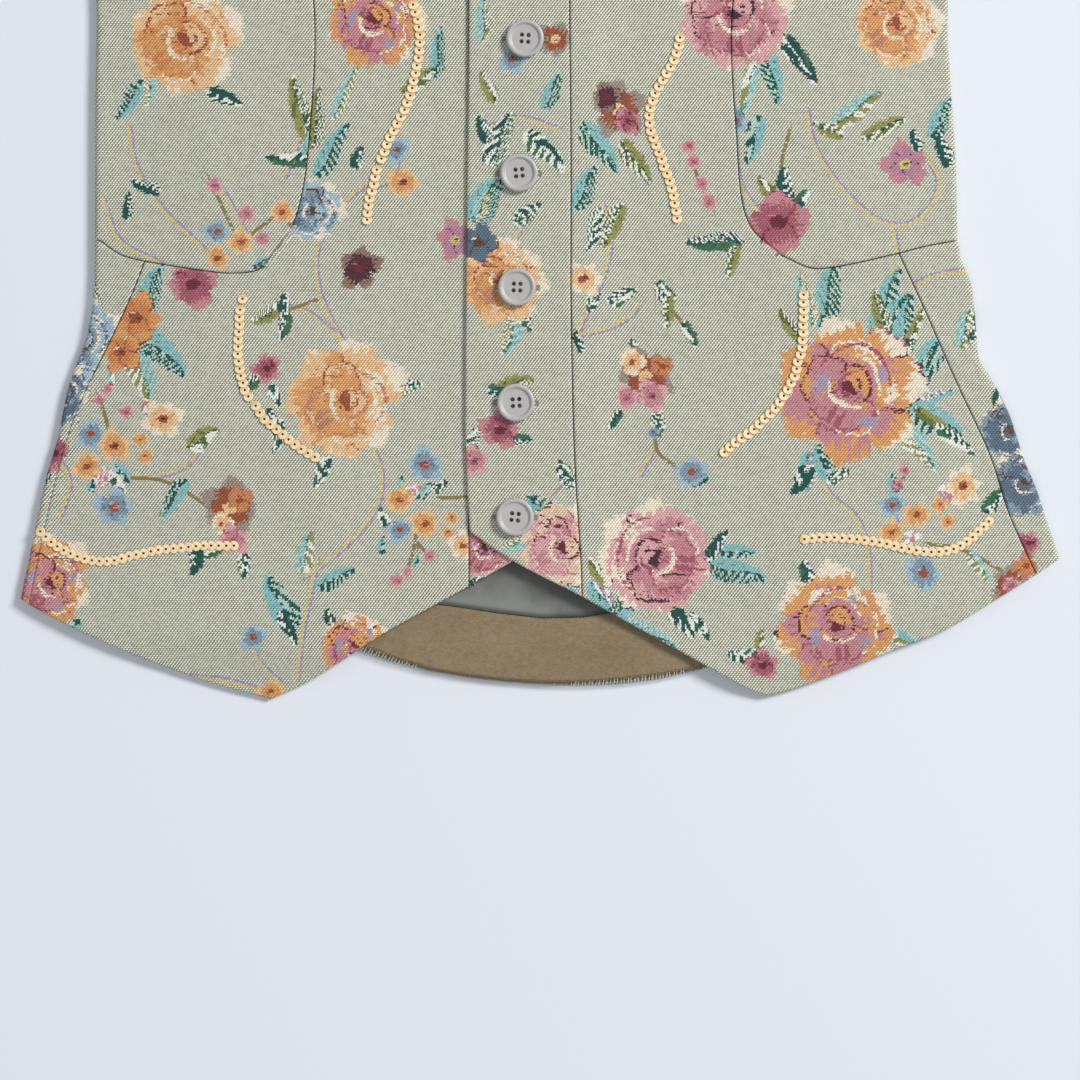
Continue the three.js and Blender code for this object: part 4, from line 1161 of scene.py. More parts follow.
# each kind of motif: its table, what weaves it, and its reach as a share of its size
MOTIFS = {
    "leaves": (FOLIAGE, weave_leaf, 0.6),
    "roses": (ROSES, weave_rose, 1.25),
    "small": (SMALL, weave_small, 1.3),
}


# ---------- Blender objects ----------
def make_object(name, points, cells, material, smooth_faces=True):
    """A mesh object in metres, from points in millimetres."""
    mesh = bpy.data.meshes.new(name)
    cells = np.asarray(cells)
    mesh.vertices.add(len(points))
    mesh.vertices.foreach_set("co", (np.asarray(points, float) * MM).ravel())
    mesh.loops.add(cells.size)
    mesh.loops.foreach_set("vertex_index", cells.ravel().astype(np.int32))
    mesh.polygons.add(len(cells))
    mesh.polygons.foreach_set("loop_start", np.arange(0, cells.size, cells.shape[1], dtype=np.int32))
    mesh.polygons.foreach_set("use_smooth", np.full(len(cells), smooth_faces))
    mesh.update(calc_edges=True)
    mesh.validate()
    mesh.materials.append(material)
    piece = bpy.data.objects.new(name, mesh)
    bpy.context.collection.objects.link(piece)
    return piece


def store(piece, name, kind, domain, values):
    attribute = piece.data.attributes.new(name, kind, domain)
    field = {"FLOAT": "value", "FLOAT_COLOR": "color", "FLOAT_VECTOR": "vector"}[kind]
    attribute.data.foreach_set(field, np.asarray(values, np.float32).ravel())


def fix(piece, node=None):
    """Lets a piece ride with the garment, and stand for its solid if it has one."""
    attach(piece, "root")
    if node:
        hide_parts(node)


def cloth_piece(name, node, geometry, material):
    """A sheet of cloth that stands for its solid, and knows its places in the flat cloth."""
    points, cells, flat = geometry
    points[:, 2] = np.maximum(points[:, 2], 0.0)
    piece = make_object(name, points, cells, material)
    store(piece, "cloth", "FLOAT_VECTOR", "POINT", np.column_stack([flat, np.zeros(len(flat))]))
    fix(piece, node)
    return piece


def jacquard_piece(node, code, geometry):
    """One piece of jacquard with its yarns."""
    piece = cloth_piece(node + "_cloth", node, geometry, jacquard_material())
    _, cells, flat = geometry
    chart = Chart(flat, cells)
    weave(chart, code)
    levels = np.array([(*srgb(*YARNS[name]), 0.0 if name == "ground" else 1.0) for name in YARN_NAMES])
    for name, kind, values in (
            ("yarn_a", "FLOAT_COLOR", np.repeat(levels[chart.first], 4, axis=0)),
            ("yarn_b", "FLOAT_COLOR", np.repeat(levels[chart.second], 4, axis=0)),
            ("share", "FLOAT", chart.share), ("lattice", "FLOAT", np.repeat(chart.lattice, 4))):
        store(piece, name, kind, "CORNER", values)
    vines = repeated("vines", code) + VINES.get(code, [])
    for name, paths in (("vine", vines), ("stem", STEMS.get(code, []))):
        store(piece, name, "FLOAT", "POINT", nearest_path(flat, paths))


# ---------- materials ----------
def dimmed(colour, factor):
    return tuple(min(c * factor, 1) for c in colour)


@cache
def jacquard_material():
    colours, cloth = bpy.context.scene.waistcoat_colours, bpy.context.scene.waistcoat_cloth
    s = Shader("jacquard", Roughness=0.86, Sheen_Weight=0.12, Sheen_Roughness=0.5, Specular_IOR_Level=0.25)
    place, x, y = s.cloth()
    # brick lattice of floats that lean to the right
    rise = y / 0.938
    row = s.floor(rise)
    across = x / 1.4375 - row * 0.5
    column = s.floor(across)
    u, v = (s.math("FRACT", part) - 0.5 for part in (across, rise))
    slant = u - v * 0.36
    crossing = s.math("MAXIMUM", 1 - (slant * slant * 6.0 + v * v * 3.6), 0.0)
    knot = s.noise(row + 0.5, column + 0.5)
    # ragged edges and hatching: streaks along the picks, or every other crossing where the chart asks for it
    pick = s.floor(y / 0.475)
    shift = s.noise(pick + 0.5, 3.5) * 2.0
    streak = s.noise(pick + 0.5, s.floor(x / 2.6 + shift) + 0.5)
    stitch = s.noise(pick + 0.5, s.floor(x / 0.62) + 0.5)
    ragged = streak * 0.72 + stitch * 0.18 + 0.05
    checked = 0.82 + stitch * 0.16 - crossing * 0.8
    second = s.attribute("share") > ragged + (checked - ragged) * s.attribute("lattice")
    yarn = s.blend(second, s.attribute("yarn_a", "Color"), s.attribute("yarn_b", "Color"))
    first_mask, second_mask = s.attribute("yarn_a", "Alpha"), s.attribute("yarn_b", "Alpha")
    figure = first_mask + (second_mask - first_mask) * second
    # ground weave with its dark specks, vines and stems
    ground = s.blend(crossing, colours.shade, colours.ground)
    ground = s.blend((crossing > 0.55) * (0.35 + knot * 0.5), ground, colours.speck)
    vine, stem = s.attribute("vine"), s.attribute("stem")
    thread = s.noise(pick + 0.5, s.floor(x / 0.5) + 7.5) > 0.25
    for mask, strength, levels in (
            ((s.noise(row + 3.5, column + 1.5) > 0.6) * (crossing < 0.12), 0.6, (62, 64, 54)),
            ((s.math("ABSOLUTE", vine - 0.78) < 0.48) * thread, 0.85, (146, 126, 176)),
            ((s.math("ABSOLUTE", vine + 0.68) < 0.56) * thread, 0.85, (206, 184, 94)),
            ((s.math("ABSOLUTE", stem) < 0.85) * (streak < 0.85), 0.9, (124, 110, 58))):
        ground = s.blend(mask * strength, ground, srgb(*levels))
    # figured yarns: dark between the crossings
    tint = 0.58 + crossing * 0.62 + (knot - 0.5) * 0.12 + (stitch - 0.5) * 0.16
    woven = s.blend(figure, ground, s.scaled(yarn, tint))
    worn = s.scaled(woven, 0.94 + s.cloud(place, 0.05, 3.0) * 0.12)
    height = crossing * 0.7 + figure * 0.35 + stitch * 0.25
    return s.finish(worn, None, height, cloth.relief, 0.00028)


@cache
def lining_material():
    lining = bpy.context.scene.waistcoat_colours.lining
    s = Shader("lining", Roughness=0.42, Sheen_Weight=0.1, Specular_IOR_Level=0.45)
    place, x, y = s.cloth()
    drawn_out = s.node("ShaderNodeVectorMath", {"operation": "MULTIPLY"}, {0: place, 1: (5.0, 0.5, 1.0)})
    fine = s.cloud(s.out(drawn_out), 1.0, 2.0)
    slub = s.cloud(place, 0.12, 2.0)
    light = s.blend(fine * 0.6 + slub * 0.5, dimmed(lining, 0.72), lining)
    # painted shade: the lining is darkened above the facing, under the fronts and along the one that laps
    # over, where the fronts shade it
    lapped = s.math("MAXIMUM", x + 12.0, 0.0) * 0.5
    above = s.ease(y + lapped + slub * 16.0, -250.0, -231.0, 0.92)
    twill = s.math("SINE", x * 14.0 + y * 5.0)
    return s.finish(s.blend(above, light, dimmed(lining, 0.28)), 0.36 + fine * 0.14, fine * 0.6 + twill * 0.1,
                    0.12, 0.0001)


@cache
def facing_material():
    facing = bpy.context.scene.waistcoat_colours.facing
    s = Shader("facing", Roughness=0.88, Sheen_Weight=0.1, Specular_IOR_Level=0.2)
    place, x, y = s.cloth()
    rib = s.math("SINE", x * 9.5 + y * 13.0) * 0.5 + 0.5
    weft = s.math("SINE", y * 17.0) * 0.5 + 0.5
    mottle = s.cloud(place, 0.35, 4.0)
    pick = s.floor(y / 0.47)
    grain = s.noise(pick, s.floor(x / 1.1 + pick * 0.6))
    wide = s.cloud(place, 0.03, 2.0)
    tone = rib * 0.12 + weft * 0.08 + mottle * 0.55 + grain * 0.30 + wide * 0.5 - 0.28
    return s.finish(s.blend(tone, dimmed(facing, 0.6), dimmed(facing, 1.3)), None, rib * 0.7 + mottle * 0.4,
                    0.3, 0.00015)


@cache
def button_material():
    button = bpy.context.scene.waistcoat_colours.button
    s = Shader("button", Roughness=0.38, Coat_Weight=0.15, Coat_Roughness=0.25, Specular_IOR_Level=0.5)
    place = s.place()
    cloud, turned = s.cloud(place, 260.0, 3.0), s.cloud(place, 1800.0, 1.0)
    shade = s.blend(cloud, dimmed(button, 0.9), dimmed(button, 1.06))
    return s.finish(shade, 0.33 + cloud * 0.12, turned, 0.04, 0.0001)


@cache
def sequin_material():
    sequin = bpy.context.scene.waistcoat_colours.sequin
    s = Shader("sequin", Roughness=0.28, Metallic=0.1, Coat_Weight=0.4, Coat_Roughness=0.15,
               Specular_IOR_Level=0.5)
    cloud = s.cloud(s.place(), 190.0, 2.0)
    # painted shade and highlight: darker on the side that the sequin before it covers, with a painted
    # highlight at the free rim
    rim = s.ease(s.attribute("fore"), -0.6, 0.15, 0.8)
    painted_shade_tint, pale = (tuple(min(c * f, 1) for c, f in zip(sequin, tint))
                  for tint in ((0.84, 0.66, 0.5), (1.05, 1.06, 1.15)))
    return s.finish(s.blend(rim + cloud * 0.3, painted_shade_tint, pale), 0.2 + cloud * 0.14, cloud, 0.05, 0.0002)


THREADS = {"sewing": (168, 168, 152), "pale": (226, 226, 212), "brown": (122, 102, 76), "dark": (70, 54, 38)}


@cache
def thread_material(kind):
    level = srgb(*THREADS[kind])
    s = Shader(kind + "_thread", Roughness=0.8, Sheen_Weight=0.2)
    twist = s.cloud(s.place(), 2600.0, 1.0)
    return s.finish(s.blend(twist, dimmed(level, 0.65), level), None, twist, 0.3, 0.0001)


# ---------- piece geometry ----------
def cell_size():
    return bpy.context.scene.waistcoat_cloth.cell / MM


def run_steps(name, rough, first=0.0, last=0.0):
    """Fractions along a run of this rough length in millimetres, a whole number for each coarse cell.

    An end that is a seam or an edge gets an extra one, for which its own rough length is given."""
    cells = CELLS[name]
    inner = np.linspace(0, 1, max(round(rough / cells / cell_size()), 1) * cells + 1)
    extra = ([EDGE_STEP / first] if first else []) + ([1 - EDGE_STEP / last] if last else [])
    return np.sort(np.append(inner, extra))


def front_net(half):
    """A whole front: its skirt from hem to waist and its body from waist to shoulder."""
    runs = {name: (CELLS[name], run_steps(name, *lengths)) for name, lengths in FRONT_RUNS.items()}

    def line(**parts):
        return rail(*[(half[knots], *runs[name]) for name, knots in parts.items()])

    skirt = fill(line(waist_front="hem_inner", waist_middle="hem_outer"),
                 line(waist_front="waist_front", waist_middle="waist_middle"),
                 line(low="band_low"), line(low="diagonal"))
    body = fill(line(waist_front="waist_front"), line(waist_front="shoulder"),
                line(high="band_high", top="neck"), line(high="princess", top="armhole_high"))
    return Net(skirt, body)


def turned_columns():
    """How far past the crease each column lies that goes round a side fold and on below."""
    length, flat_run = math.pi * FOLD_RADIUS, SIDE_TURN - FOLD_INSET
    below = np.linspace(0, flat_run, max(round(flat_run / cell_size()), 2))[1:]
    return np.concatenate([np.linspace(0, length, 9), length + below])


def side_net(side, part):
    """A side front ("high") or side panel ("low") with its turn round the side fold."""
    half, middle_cells, side_cells = HALVES[side], CELLS["waist_middle"], CELLS["waist_side"]
    rough = SIDE_RUNS[part]
    rows = run_steps(part, rough, rough, rough)
    crease, out = fold_rows(side, part, rows)
    if part == "high":
        bottom = rail((half["waist_middle"], middle_cells, run_steps("waist_middle", 60, 60)),
                      ([*half["waist_side"], crease[0]], side_cells, run_steps("waist_side", 30)))
        top = run([*half["armhole_low"], crease[-1]], bottom[1]), bottom[1]
    else:
        columns = run_steps("waist_side", 20, 20)
        bottom = rail(([half["hem_outer"][-1], crease[0]], side_cells, columns))
        top = rail(([*half["waist_side"], crease[-1]], side_cells, columns))
    inner = rail((half["princess" if part == "high" else "diagonal"], CELLS[part], rows))
    grid = fill(bottom, top, inner, (crease, rows))
    turned = crease[:, None] + out[:, None] * turned_columns()[None, :, None]
    flat = np.concatenate([grid[:, :-1], turned], axis=1)
    folds = [np.broadcast_to(frame[:, None], flat.shape).reshape(-1, 2) for frame in (crease, out)]
    return Net(flat, folds=folds)


def band_net(band, half):
    # the neck runs steeply past the rows, so its extra row lies further down
    seam = rail((half["band_low"], CELLS["low"], run_steps("low", 158, 158)),
                (half["band_high"], CELLS["high"], run_steps("high", 268, 0, 268 / 3.5)))
    columns = run_steps("band", 50, 50, 50)
    hem, neck = (rail((band[name], CELLS["band"], columns)) for name in ("hem", "neck"))
    return Net(fill(hem, neck, (run(band["edge"], seam[1]), seam[1]), seam))


def resample(points, count):
    """Evenly spaced points along straight pieces."""
    points = np.asarray(points, float)
    lengths = np.append(0, np.cumsum(np.linalg.norm(np.diff(points, axis=0), axis=1)))
    at = np.linspace(0, lengths[-1], count + 1)
    return np.stack([np.interp(at, lengths, points[:, k]) for k in (0, 1)], -1), np.linspace(0, 1, count + 1)


def back_net(bottom, inset, clear, size):
    """The back or its lining, from its bottom line up to the shoulders and the neck."""
    sides = []
    for side, sign, end in (("L", -1, bottom[0]), ("R", 1, bottom[-1])):
        seam = inset_fold(side, inset)
        seam = seam[seam[:, 1] > end[1] + clear] if clear else seam[1:]
        armhole = [(CENTRE_X + sign * half, y) for half, y in BACK_ARMHOLE]
        armhole.insert(0, inset_fold(side, SIDE_TURN)[-1])
        sides.append(np.vstack([end, seam, even_run(armhole, CURVE_POINTS)[0 if clear else 1:]]))
    left, right = sides
    top = np.vstack([left[-1], even_run(BACK_NECK, CURVE_POINTS)[::-1], right[-1]])
    across, up = round(BACK_WIDTH / size), round(BACK_HEIGHT / size)
    return Net(fill(resample(bottom, across), resample(top, across), resample(left, up), resample(right, up)))


def facing_net():
    """The hem facing, from just inside the back's hem up to its seam."""
    count = round(BACK_WIDTH / FACING_CELL)
    low = HEM_LINE + np.array([0.0, 1.0]) * hem_reveal(HEM_LINE[:, :1])
    ends = (resample(np.vstack([low[k], FACING_LINE[k]]), FACING_ROWS) for k in (0, -1))
    return Net(fill(resample(low, count), resample(FACING_LINE, count), *ends))


def level_middle(net, height, wave=None):
    """Middle of a cloth that lies level, on slight waves if it has any."""
    middle = np.column_stack([net.flat, np.full(len(net.flat), height)])
    if wave:
        middle[:, 2] += wave(net.flat[:, 0], net.flat[:, 1])
    return middle


def button_mesh():
    """Points and three-sided cells of a turned button with a rim, a dished middle and four holes."""
    sides, hole_sides = 72, 20
    rim, hole = circle(sides), circle(hole_sides)
    points = [turned_points(BUTTON_PROFILE, sides)]
    quads = ring_cells(ring_numbers(len(BUTTON_PROFILE), sides))
    triangles = [quads[:, [0, 1, 2]], quads[:, [0, 2, 3]]]
    # the dish, cut round its holes
    dish_radius, dish_height = BUTTON_PROFILE[0]
    hole_rim = HOLE_LEVELS[0][0]
    places = [(x * HOLE_SPREAD, y * HOLE_SPREAD) for x, y in ((1, 1), (-1, 1), (-1, -1), (1, -1))]
    flat = [rim * dish_radius, rim * DISH_RING, *[hole * hole_rim + place for place in places]]
    starts = np.cumsum([0] + [len(part) for part in flat])
    loops = [list(range(a, b)) for a, b in zip(starts, starts[1:])]
    edges = [(loop[k - 1], loop[k]) for loop in loops for k in range(len(loop))]
    verts, _, faces, _, _, _ = delaunay_2d_cdt([Vector(p) for p in np.vstack(flat)], edges, [], 0, 1e-5)
    dish = np.array([tuple(v) for v in verts])
    depth = dish_height - 0.12 * np.clip(1 - np.hypot(*dish.T) / dish_radius, 0, 1)
    base = len(points[0])
    points.append(np.column_stack([dish, depth]))
    faces = np.array([f for f in faces if len(f) == 3])
    centres = dish[faces].mean(1)
    outside = [np.hypot(*(centres - place).T) > hole_rim * 0.98 for place in places]
    triangles.append(faces[np.all(outside, axis=0)] + base)
    # walls of the holes
    count = base + len(dish)
    wall = ring_numbers(len(HOLE_LEVELS), hole_sides)
    for k, place in enumerate(places):
        points.append(turned_points(HOLE_LEVELS, hole_sides) + (*place, 0.0))
        levels = wall + count + k * wall.size
        for a, b in zip(levels, levels[1:]):
            after_a, after_b = np.roll(a, -1), np.roll(b, -1)
            triangles += [np.stack([a, after_a, b], -1), np.stack([after_a, after_b, b], -1)]
    return np.vstack(points), np.vstack(triangles)


def tube(path, radius, sides=6):
    """Points and cells of a thin tube along a path, narrowed at its ends."""
    path = np.asarray(path, float)
    along = path_ways(path)
    side = unit(np.cross(along, np.where(np.abs(along[:, 2:]) > 0.9, [1.0, 0, 0], [0, 0, 1.0])))
    up = np.cross(side, along)
    thick = np.full(len(path), radius)
    thick[[0, -1]] = radius * 0.25
    c, s = (part[None, :, None] for part in circle(sides).T)
    points = path[:, None] + thick[:, None, None] * (side[:, None] * c + up[:, None] * s)
    return points.reshape(-1, 3), np.roll(ring_cells(ring_numbers(len(path), sides))[:, ::-1], 1, axis=1)


def joined(parts):
    """Points and cells of several parts as one."""
    points, cells = zip(*parts)
    starts = np.cumsum([0] + [len(part) for part in points])
    return np.vstack(points), np.vstack([part + start for part, start in zip(cells, starts)])


def small_piece(name, parts, material):
    """One piece made of many small parts, which the solids leave out."""
    piece = make_object(name, *joined(parts), material)
    fix(piece)
    return piece


def turned(points, angle):
    """Points turned about the vertical."""
    x, y, z = np.asarray(points, float).T
    c, s = math.cos(angle), math.sin(angle)
    return np.column_stack([x * c - y * s, x * s + y * c, z])


def button_stitches(angle, seat):
    """Two pairs of threads through the holes of a button that is turned by an angle and sits at a place."""
    threads = []
    for side, shift in product((-1, 1), (-0.22, 0.22)):
        a, b = (np.array([end, HOLE_SPREAD * side + shift]) for end in (-HOLE_SPREAD, HOLE_SPREAD))
        bow = [(*(a + (b - a) * t), 1.2 - 0.15 * math.sin(math.pi * t)) for t in (0.2, 0.5, 0.8)]
        path = [(*a, 0.9), (*a, 1.15), *bow, (*b, 1.15), (*b, 0.9)]
        threads.append(tube(turned(path, angle) + seat - (0, 0, 0.35), 0.2))
    return threads


def buttonhole_stitches(x, y):
    """Two rows of close stitches with a bar at each end."""
    level = top_of_front(x, y, True)
    starts, paths = [], []
    for k, side in product(np.arange(-9.7, 9.71, 0.42), (-1, 1)):
        starts.append((x + k + 0.2, y + side * 0.15, level - 0.05))
        paths.append([(0, 0, 0), (0, side * 0.25, 0.28), (0, side * 0.8, 0.24), (0, side * 1.05, -0.05)])
    for end, k in product((-10.0, 10.0), np.arange(-1.0, 1.01, 0.4)):
        starts.append((x + end, y + k, level + 0.02))
        paths.append([(-0.6, 0, -0.1), (-0.3, 0, 0.25), (0.3, 0, 0.25), (0.6, 0, -0.1)])
    return [tube(np.array(start) + path, 0.2, 4) for start, path in zip(starts, paths)]


def sequin_mesh(radius, sides=20):
    """A shallow cup with a rolled hole and rim."""
    profile = [(0.56, 0.02), (0.58, 0.13), (0.72, 0.16), (1.2, 0.14), (1.7, 0.16), (radius - 0.2, 0.22),
               (radius, 0.16), (radius - 0.06, 0.06), (1.2, 0.02), (0.6, 0.0)]
    numbers = ring_numbers(len(profile), sides)
    return turned_points(profile, sides), ring_cells([*numbers, numbers[0]])


def sequin_places(path, pitch):
    """Places and directions of the sequins along a charted line."""
    path = np.array([from_chart(*place) for place in path])
    length = np.linalg.norm(np.diff(path, axis=0), axis=1).sum()
    count = round(length / pitch) + 1
    if count == 1:
        return path[:1], np.array([[0.0, -1.0]])
    places = even_run(path, count)
    return places, path_ways(places)


# ---------- operators ----------
class WAISTCOAT_OT_back(bpy.types.Operator):
    """Adds the back, its lining and its hem facing"""

    bl_idname = "waistcoat.back"
    bl_label = "Back"
    bl_options = {"REGISTER", "UNDO"}

    def execute(self, context):
        net = back_net(HEM_LINE, SIDE_TURN, 0.0, BACK_CELL)
        under = context.scene.waistcoat_cloth.turn_under / MM
        geometry = shell(net, level_middle(net, CLOTH / 2), CLOTH / 2, BACK_ROLL, under, flip=True)
        jacquard_piece("back", "BACK", geometry)
        lining = back_net(FACING_LINE, LINING_INSET, LINING_CLEAR, LINING_CELL)
        for name, node, slot, net, wave, roll, material, cut in (
                ("lining_satin", "back_lining", "lining", lining, lining_wave, LINING_ROLL, lining_material(),
                 (436, 563, 0.193)),
                ("facing_twill", "hem_facing", "facing", facing_net(), facing_wave, FACING_ROLL,
                 facing_material(), (442, 84, 0.0134))):
            middle = level_middle(net, LINING_BASE + LINING / 2, wave)
            geometry = shell(net, middle, LINING / 2, roll, LINING)
            cloth_piece(name, node, geometry, material)
        return {"FINISHED"}


def front_piece(scene, node, code, net, ripple, rolls=1.0):
    """A piece of the fronts, on the garment's height and with its edge rolled over some roll widths."""
    cloth = scene.waistcoat_cloth
    middle = raise_front(net, code.endswith("R"))
    geometry = shell(net, middle, CLOTH / 2, cloth.roll / MM * rolls, cloth.turn_under / MM, ripple=ripple)
    jacquard_piece(node, code, geometry)


class WAISTCOAT_OT_fronts(bpy.types.Operator):
    """Adds the fronts, side fronts and side panels"""

    bl_idname = "waistcoat.fronts"
    bl_label = "Fronts"
    bl_options = {"REGISTER", "UNDO"}

    def execute(self, context):
        for side, word, front, bodice, panel in (
                ("L", "left", (198, 600, 0.0673), (125, 272, 0.0235), (72, 165, 0.0038)),
                ("R", "right", (210, 599, 0.0686), (125, 270, 0.0232), (89, 151, 0.0047))):
            for name, letter, net, cut in (("front_", "F", front_net(HALVES[side]), front),
                                           ("side_front_", "S", side_net(side, "high"), bodice),
                                           ("side_panel_", "P", side_net(side, "low"), panel)):
                front_piece(context.scene, name + word, letter + side, net, ripple=0.09)
        return {"FINISHED"}


class WAISTCOAT_OT_bands(bpy.types.Operator):
    """Adds the two button bands"""

    bl_idname = "waistcoat.bands"
    bl_label = "Button bands"
    bl_options = {"REGISTER", "UNDO"}

    def execute(self, context):
        for node, code, band, half, cut, rests_on in (
                ("band_left", "BL", LOWER_BAND, LEFT, (42, 414, 0.01455), ["lining_satin"]),
                ("band_right", "BR", UPPER_BAND, RIGHT, (53, 419, 0.01636), ["band_left_cloth"])):
            front_piece(context.scene, node, code, band_net(band, half), ripple=0.04,
                        rolls=1.6)
        return {"FINISHED"}


class WAISTCOAT_OT_buttons(bpy.types.Operator):
    """Adds the six buttons with their thread, and the buttonholes"""

    bl_idname = "waistcoat.buttons"
    bl_label = "Buttons"
    bl_options = {"REGISTER", "UNDO"}

    def execute(self, context):
        points, cells = button_mesh()
        threads, holes = [], []
        for number, ((x, y), degrees) in enumerate(zip(BUTTONS, BUTTON_TURNS), 1):
            node = f"button_{number}"
            seat = x, y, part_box(node)[0][2] / MM
            angle = math.radians(degrees)
            piece = make_object(node + "_turned", turned(points, angle) + seat, cells, button_material())
            fix(piece, node)
            threads += button_stitches(angle, seat)
            holes += buttonhole_stitches(x, y)
        small_piece("button_thread", threads, thread_material("dark"))
        small_piece("buttonholes", holes, thread_material("sewing"))
        return {"FINISHED"}


class WAISTCOAT_OT_sequins(bpy.types.Operator):
    """Adds the lines of overlapping sequins"""

    bl_idname = "waistcoat.sequins"
    bl_label = "Sequins"
    bl_options = {"REGISTER", "UNDO"}
    pitch: length_setting("Pitch", "Distance between sequins", 3.4 * MM)
    radius: length_setting("Radius", "Radius of a sequin", 2.25 * MM)

    def execute(self, context):
        pitch, radius = self.pitch / MM, self.radius / MM
        base, cells = sequin_mesh(radius)
        px, py, pz = base.T
        tilt = math.asin(SEQUIN["depth"] / pitch) * SEQUIN["lean"]
        rise = SEQUIN["clear"] + radius * math.sin(tilt) * 0.9
        for side, code in (("left", "FL"), ("right", "FR")):
            parts, tack_posts_and_hole_shade = [], []
            for path in SEQUIN_LINES[code]:
                for k, ((x, y), (dx, dy)) in enumerate(zip(*sequin_places(path, pitch))):
                    lean = tilt + math.sin(k * 12.9898 + x) * 0.03
                    level = top_of_front(x, y, code == "FR")
                    lifted = pz * math.cos(lean) + px * math.sin(lean)
                    along = px * math.cos(lean) - pz * math.sin(lean)
                    aside = py + math.sin(k * 7.1 + y) * 0.12
                    spot = x + along * dx - aside * dy, y + along * dy + aside * dx, level + rise + lifted
                    parts.append((np.column_stack(spot), cells))
                    # partly painted shade: real tack thread, made thick enough to fill each hole and stand
                    # for its shade
                    start = np.array([x, y, level - 0.18])
                    tack_posts_and_hole_shade.append(tube([start + (0, 0, up) for up in (0, 0.3, 0.62, 0.7)], 0.55, 8))
            piece = small_piece("sequins_" + side, parts, sequin_material())
            store(piece, "fore", "FLOAT", "POINT", np.tile(px / radius, len(parts)))
            small_piece("sequin_thread_and_hole_shade_" + side, tack_posts_and_hole_shade, thread_material("dark"))
        return {"FINISHED"}


class WAISTCOAT_OT_sewing(bpy.types.Operator):
    """Adds the stitches along the facing's hem"""

    bl_idname = "waistcoat.sewing"
    bl_label = "Hem stitches"
    bl_options = {"REGISTER", "UNDO"}
    spacing: length_setting("Spacing", "Distance between stitches over the hem's edge", 0.8 * MM)

    def execute(self, context):
        line, _ = resample(HEM_LINE, round(HEM_LENGTH / self.spacing * MM))
        stitches = {"pale": [], "dark": [], "brown": [], "tack": []}
        rows = list(zip(line, path_ways(line), hem_reveal(line[:, 0])))
        for k, ((x, y), (dx, dy), shown) in enumerate(rows[2:-2]):
            # over the cut edges of the back and its facing
            reach = shown + 0.3 + 0.2 * math.sin(k * 2.3)
            lean = 0.45 + 0.3 * math.sin(k * 1.7)
            start = np.array([x + dy * 0.1, y - dx * 0.1, 1.5])
            top = np.array([x - dy * reach + dx * lean, y + dx * reach + dy * lean, 2.98])
            path = [start, start + (0, 0, 0.9), (start + top) / 2 + (0, 0, 0.75), top,
                    top + (-dy * 0.5, dx * 0.5, -0.25)]
            kind = "brown" if shown < 0.8 else ("pale", "dark")[k % 2]
            stitches[kind].append(tube(path, 0.16, 4))
            # running stitch inside the edge
            if k % 2 == 0:
                inside = shown + 1.4 + 0.12 * math.sin(k * 1.3)
                at = np.array([x - dy * inside, y + dx * inside])
                level = LINING_TOP + facing_wave(*at)
                path = [(*(at + np.array([dx, dy]) * along), level + up)
                        for along, up in ((-0.4, -0.1), (-0.4, 0.08), (0.4, 0.08), (0.4, -0.1))]
                stitches["tack"].append(tube(path, 0.13, 4))
        for name, kind, thread in (("hem_stitches", "pale", "pale"), ("hem_stitches_dark", "dark", "dark"),
                                   ("hem_stitches_brown", "brown", "brown"), ("hem_tacks", "tack", "dark")):
            small_piece(name, stitches[kind], thread_material(thread))
        return {"FINISHED"}


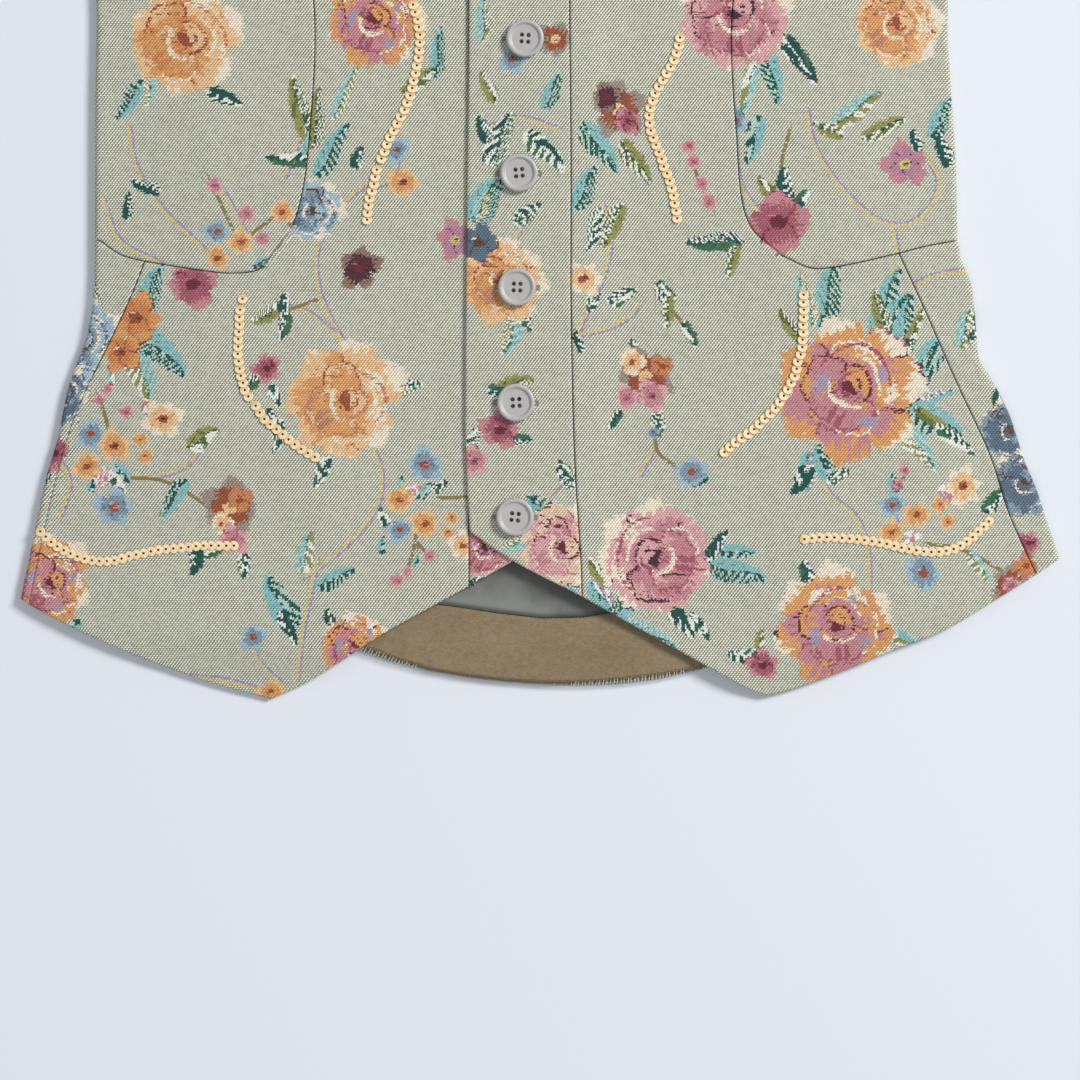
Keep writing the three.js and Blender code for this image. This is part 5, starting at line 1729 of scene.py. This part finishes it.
class WAISTCOAT_OT_stage(bpy.types.Operator):
    """Adds the floor, the lights and the camera"""

    bl_idname = "waistcoat.stage"
    bl_label = "Stage"
    bl_options = {"REGISTER", "UNDO"}

    def execute(self, context):
        scene = context.scene
        stage, floor_colour = scene.waistcoat_stage, scene.waistcoat_colours.floor
        s = Shader("floor", Roughness=0.9, Specular_IOR_Level=0.1)
        s.finish(s.blend(s.cloud(s.place(), 3.0, 2.0), dimmed(floor_colour, 0.985), floor_colour))
        corners = [(x * FLOOR["half"], y * FLOOR["half"], FLOOR["z"])
                   for x, y in ((-1, -1), (1, -1), (1, 1), (-1, 1))]
        make_object("floor", corners, [(0, 1, 2, 3)], s.material, smooth_faces=False)

        scene.world = scene.world or bpy.data.worlds.new("world")
        scene.world.use_nodes = True
        sky = scene.world.node_tree.nodes["Background"]
        sky.inputs["Color"].default_value = (0.93, 0.965, 1.0, 1.0)
        sky.inputs["Strength"].default_value = stage.fill

        def put(name, data, place):
            holder = bpy.data.objects.new(name, data)
            holder.location = place
            bpy.context.collection.objects.link(holder)
            return holder

        aim = Vector((0.0, stage.centre_y + 0.05, 0.0))
        for name, place, size, power, tint in (
                ("key", (3.0, 1.7, 2.65), 1.2, stage.key, (1.0, 0.985, 0.96)),
                ("soft", (-0.6, -1.2, 2.2), 2.0, stage.key * 0.075, (0.95, 0.97, 1.0))):
            light = bpy.data.lights.new(name, "AREA")
            light.size, light.energy, light.color = size, power, tint
            put(name, light, place).rotation_euler = (aim - Vector(place)).to_track_quat("-Z", "Y").to_euler()

        camera = bpy.data.cameras.new("camera")
        camera.sensor_width, camera.lens = 36.0, 85.0
        height = stage.frame_width * camera.lens / camera.sensor_width
        scene.camera = put("camera", camera, (0.0, stage.centre_y, height + 0.006))
        scene.view_settings.view_transform = "Standard"
        return {"FINISHED"}


class WAISTCOAT_PT_steps(bpy.types.Panel):
    """Lists the steps and their settings"""

    bl_label = "Jacquard Waistcoat"
    bl_space_type = "VIEW_3D"
    bl_region_type = "UI"
    bl_category = "Waistcoat"

    def draw(self, context):
        for step in STEPS:
            self.layout.operator(step.bl_idname)
        for name in GROUPS:
            box = self.layout.box()
            settings = getattr(context.scene, name)
            for prop in settings.bl_rna.properties:
                if prop.identifier not in ("rna_type", "name"):
                    box.prop(settings, prop.identifier)


STEPS = (WAISTCOAT_OT_stage, WAISTCOAT_OT_back, WAISTCOAT_OT_fronts, WAISTCOAT_OT_bands, WAISTCOAT_OT_buttons,
         WAISTCOAT_OT_sequins, WAISTCOAT_OT_sewing)
GROUPS = {
    "waistcoat_cloth": ClothSettings, "waistcoat_colours": ColourSettings, "waistcoat_stage": StageSettings,
}
CLASSES = (*GROUPS.values(), *STEPS, WAISTCOAT_PT_steps)


def register():
    for cls in CLASSES:
        bpy.utils.register_class(cls)
    for name, group in GROUPS.items():
        setattr(bpy.types.Scene, name, bpy.props.PointerProperty(type=group))


def unregister():
    for name in GROUPS:
        delattr(bpy.types.Scene, name)
    for cls in reversed(CLASSES):
        bpy.utils.unregister_class(cls)


def main():
    register()
    for step in STEPS:
        group, name = step.bl_idname.split(".")
        getattr(getattr(bpy.ops, group), name)()


if __name__ == "__main__":
    main()
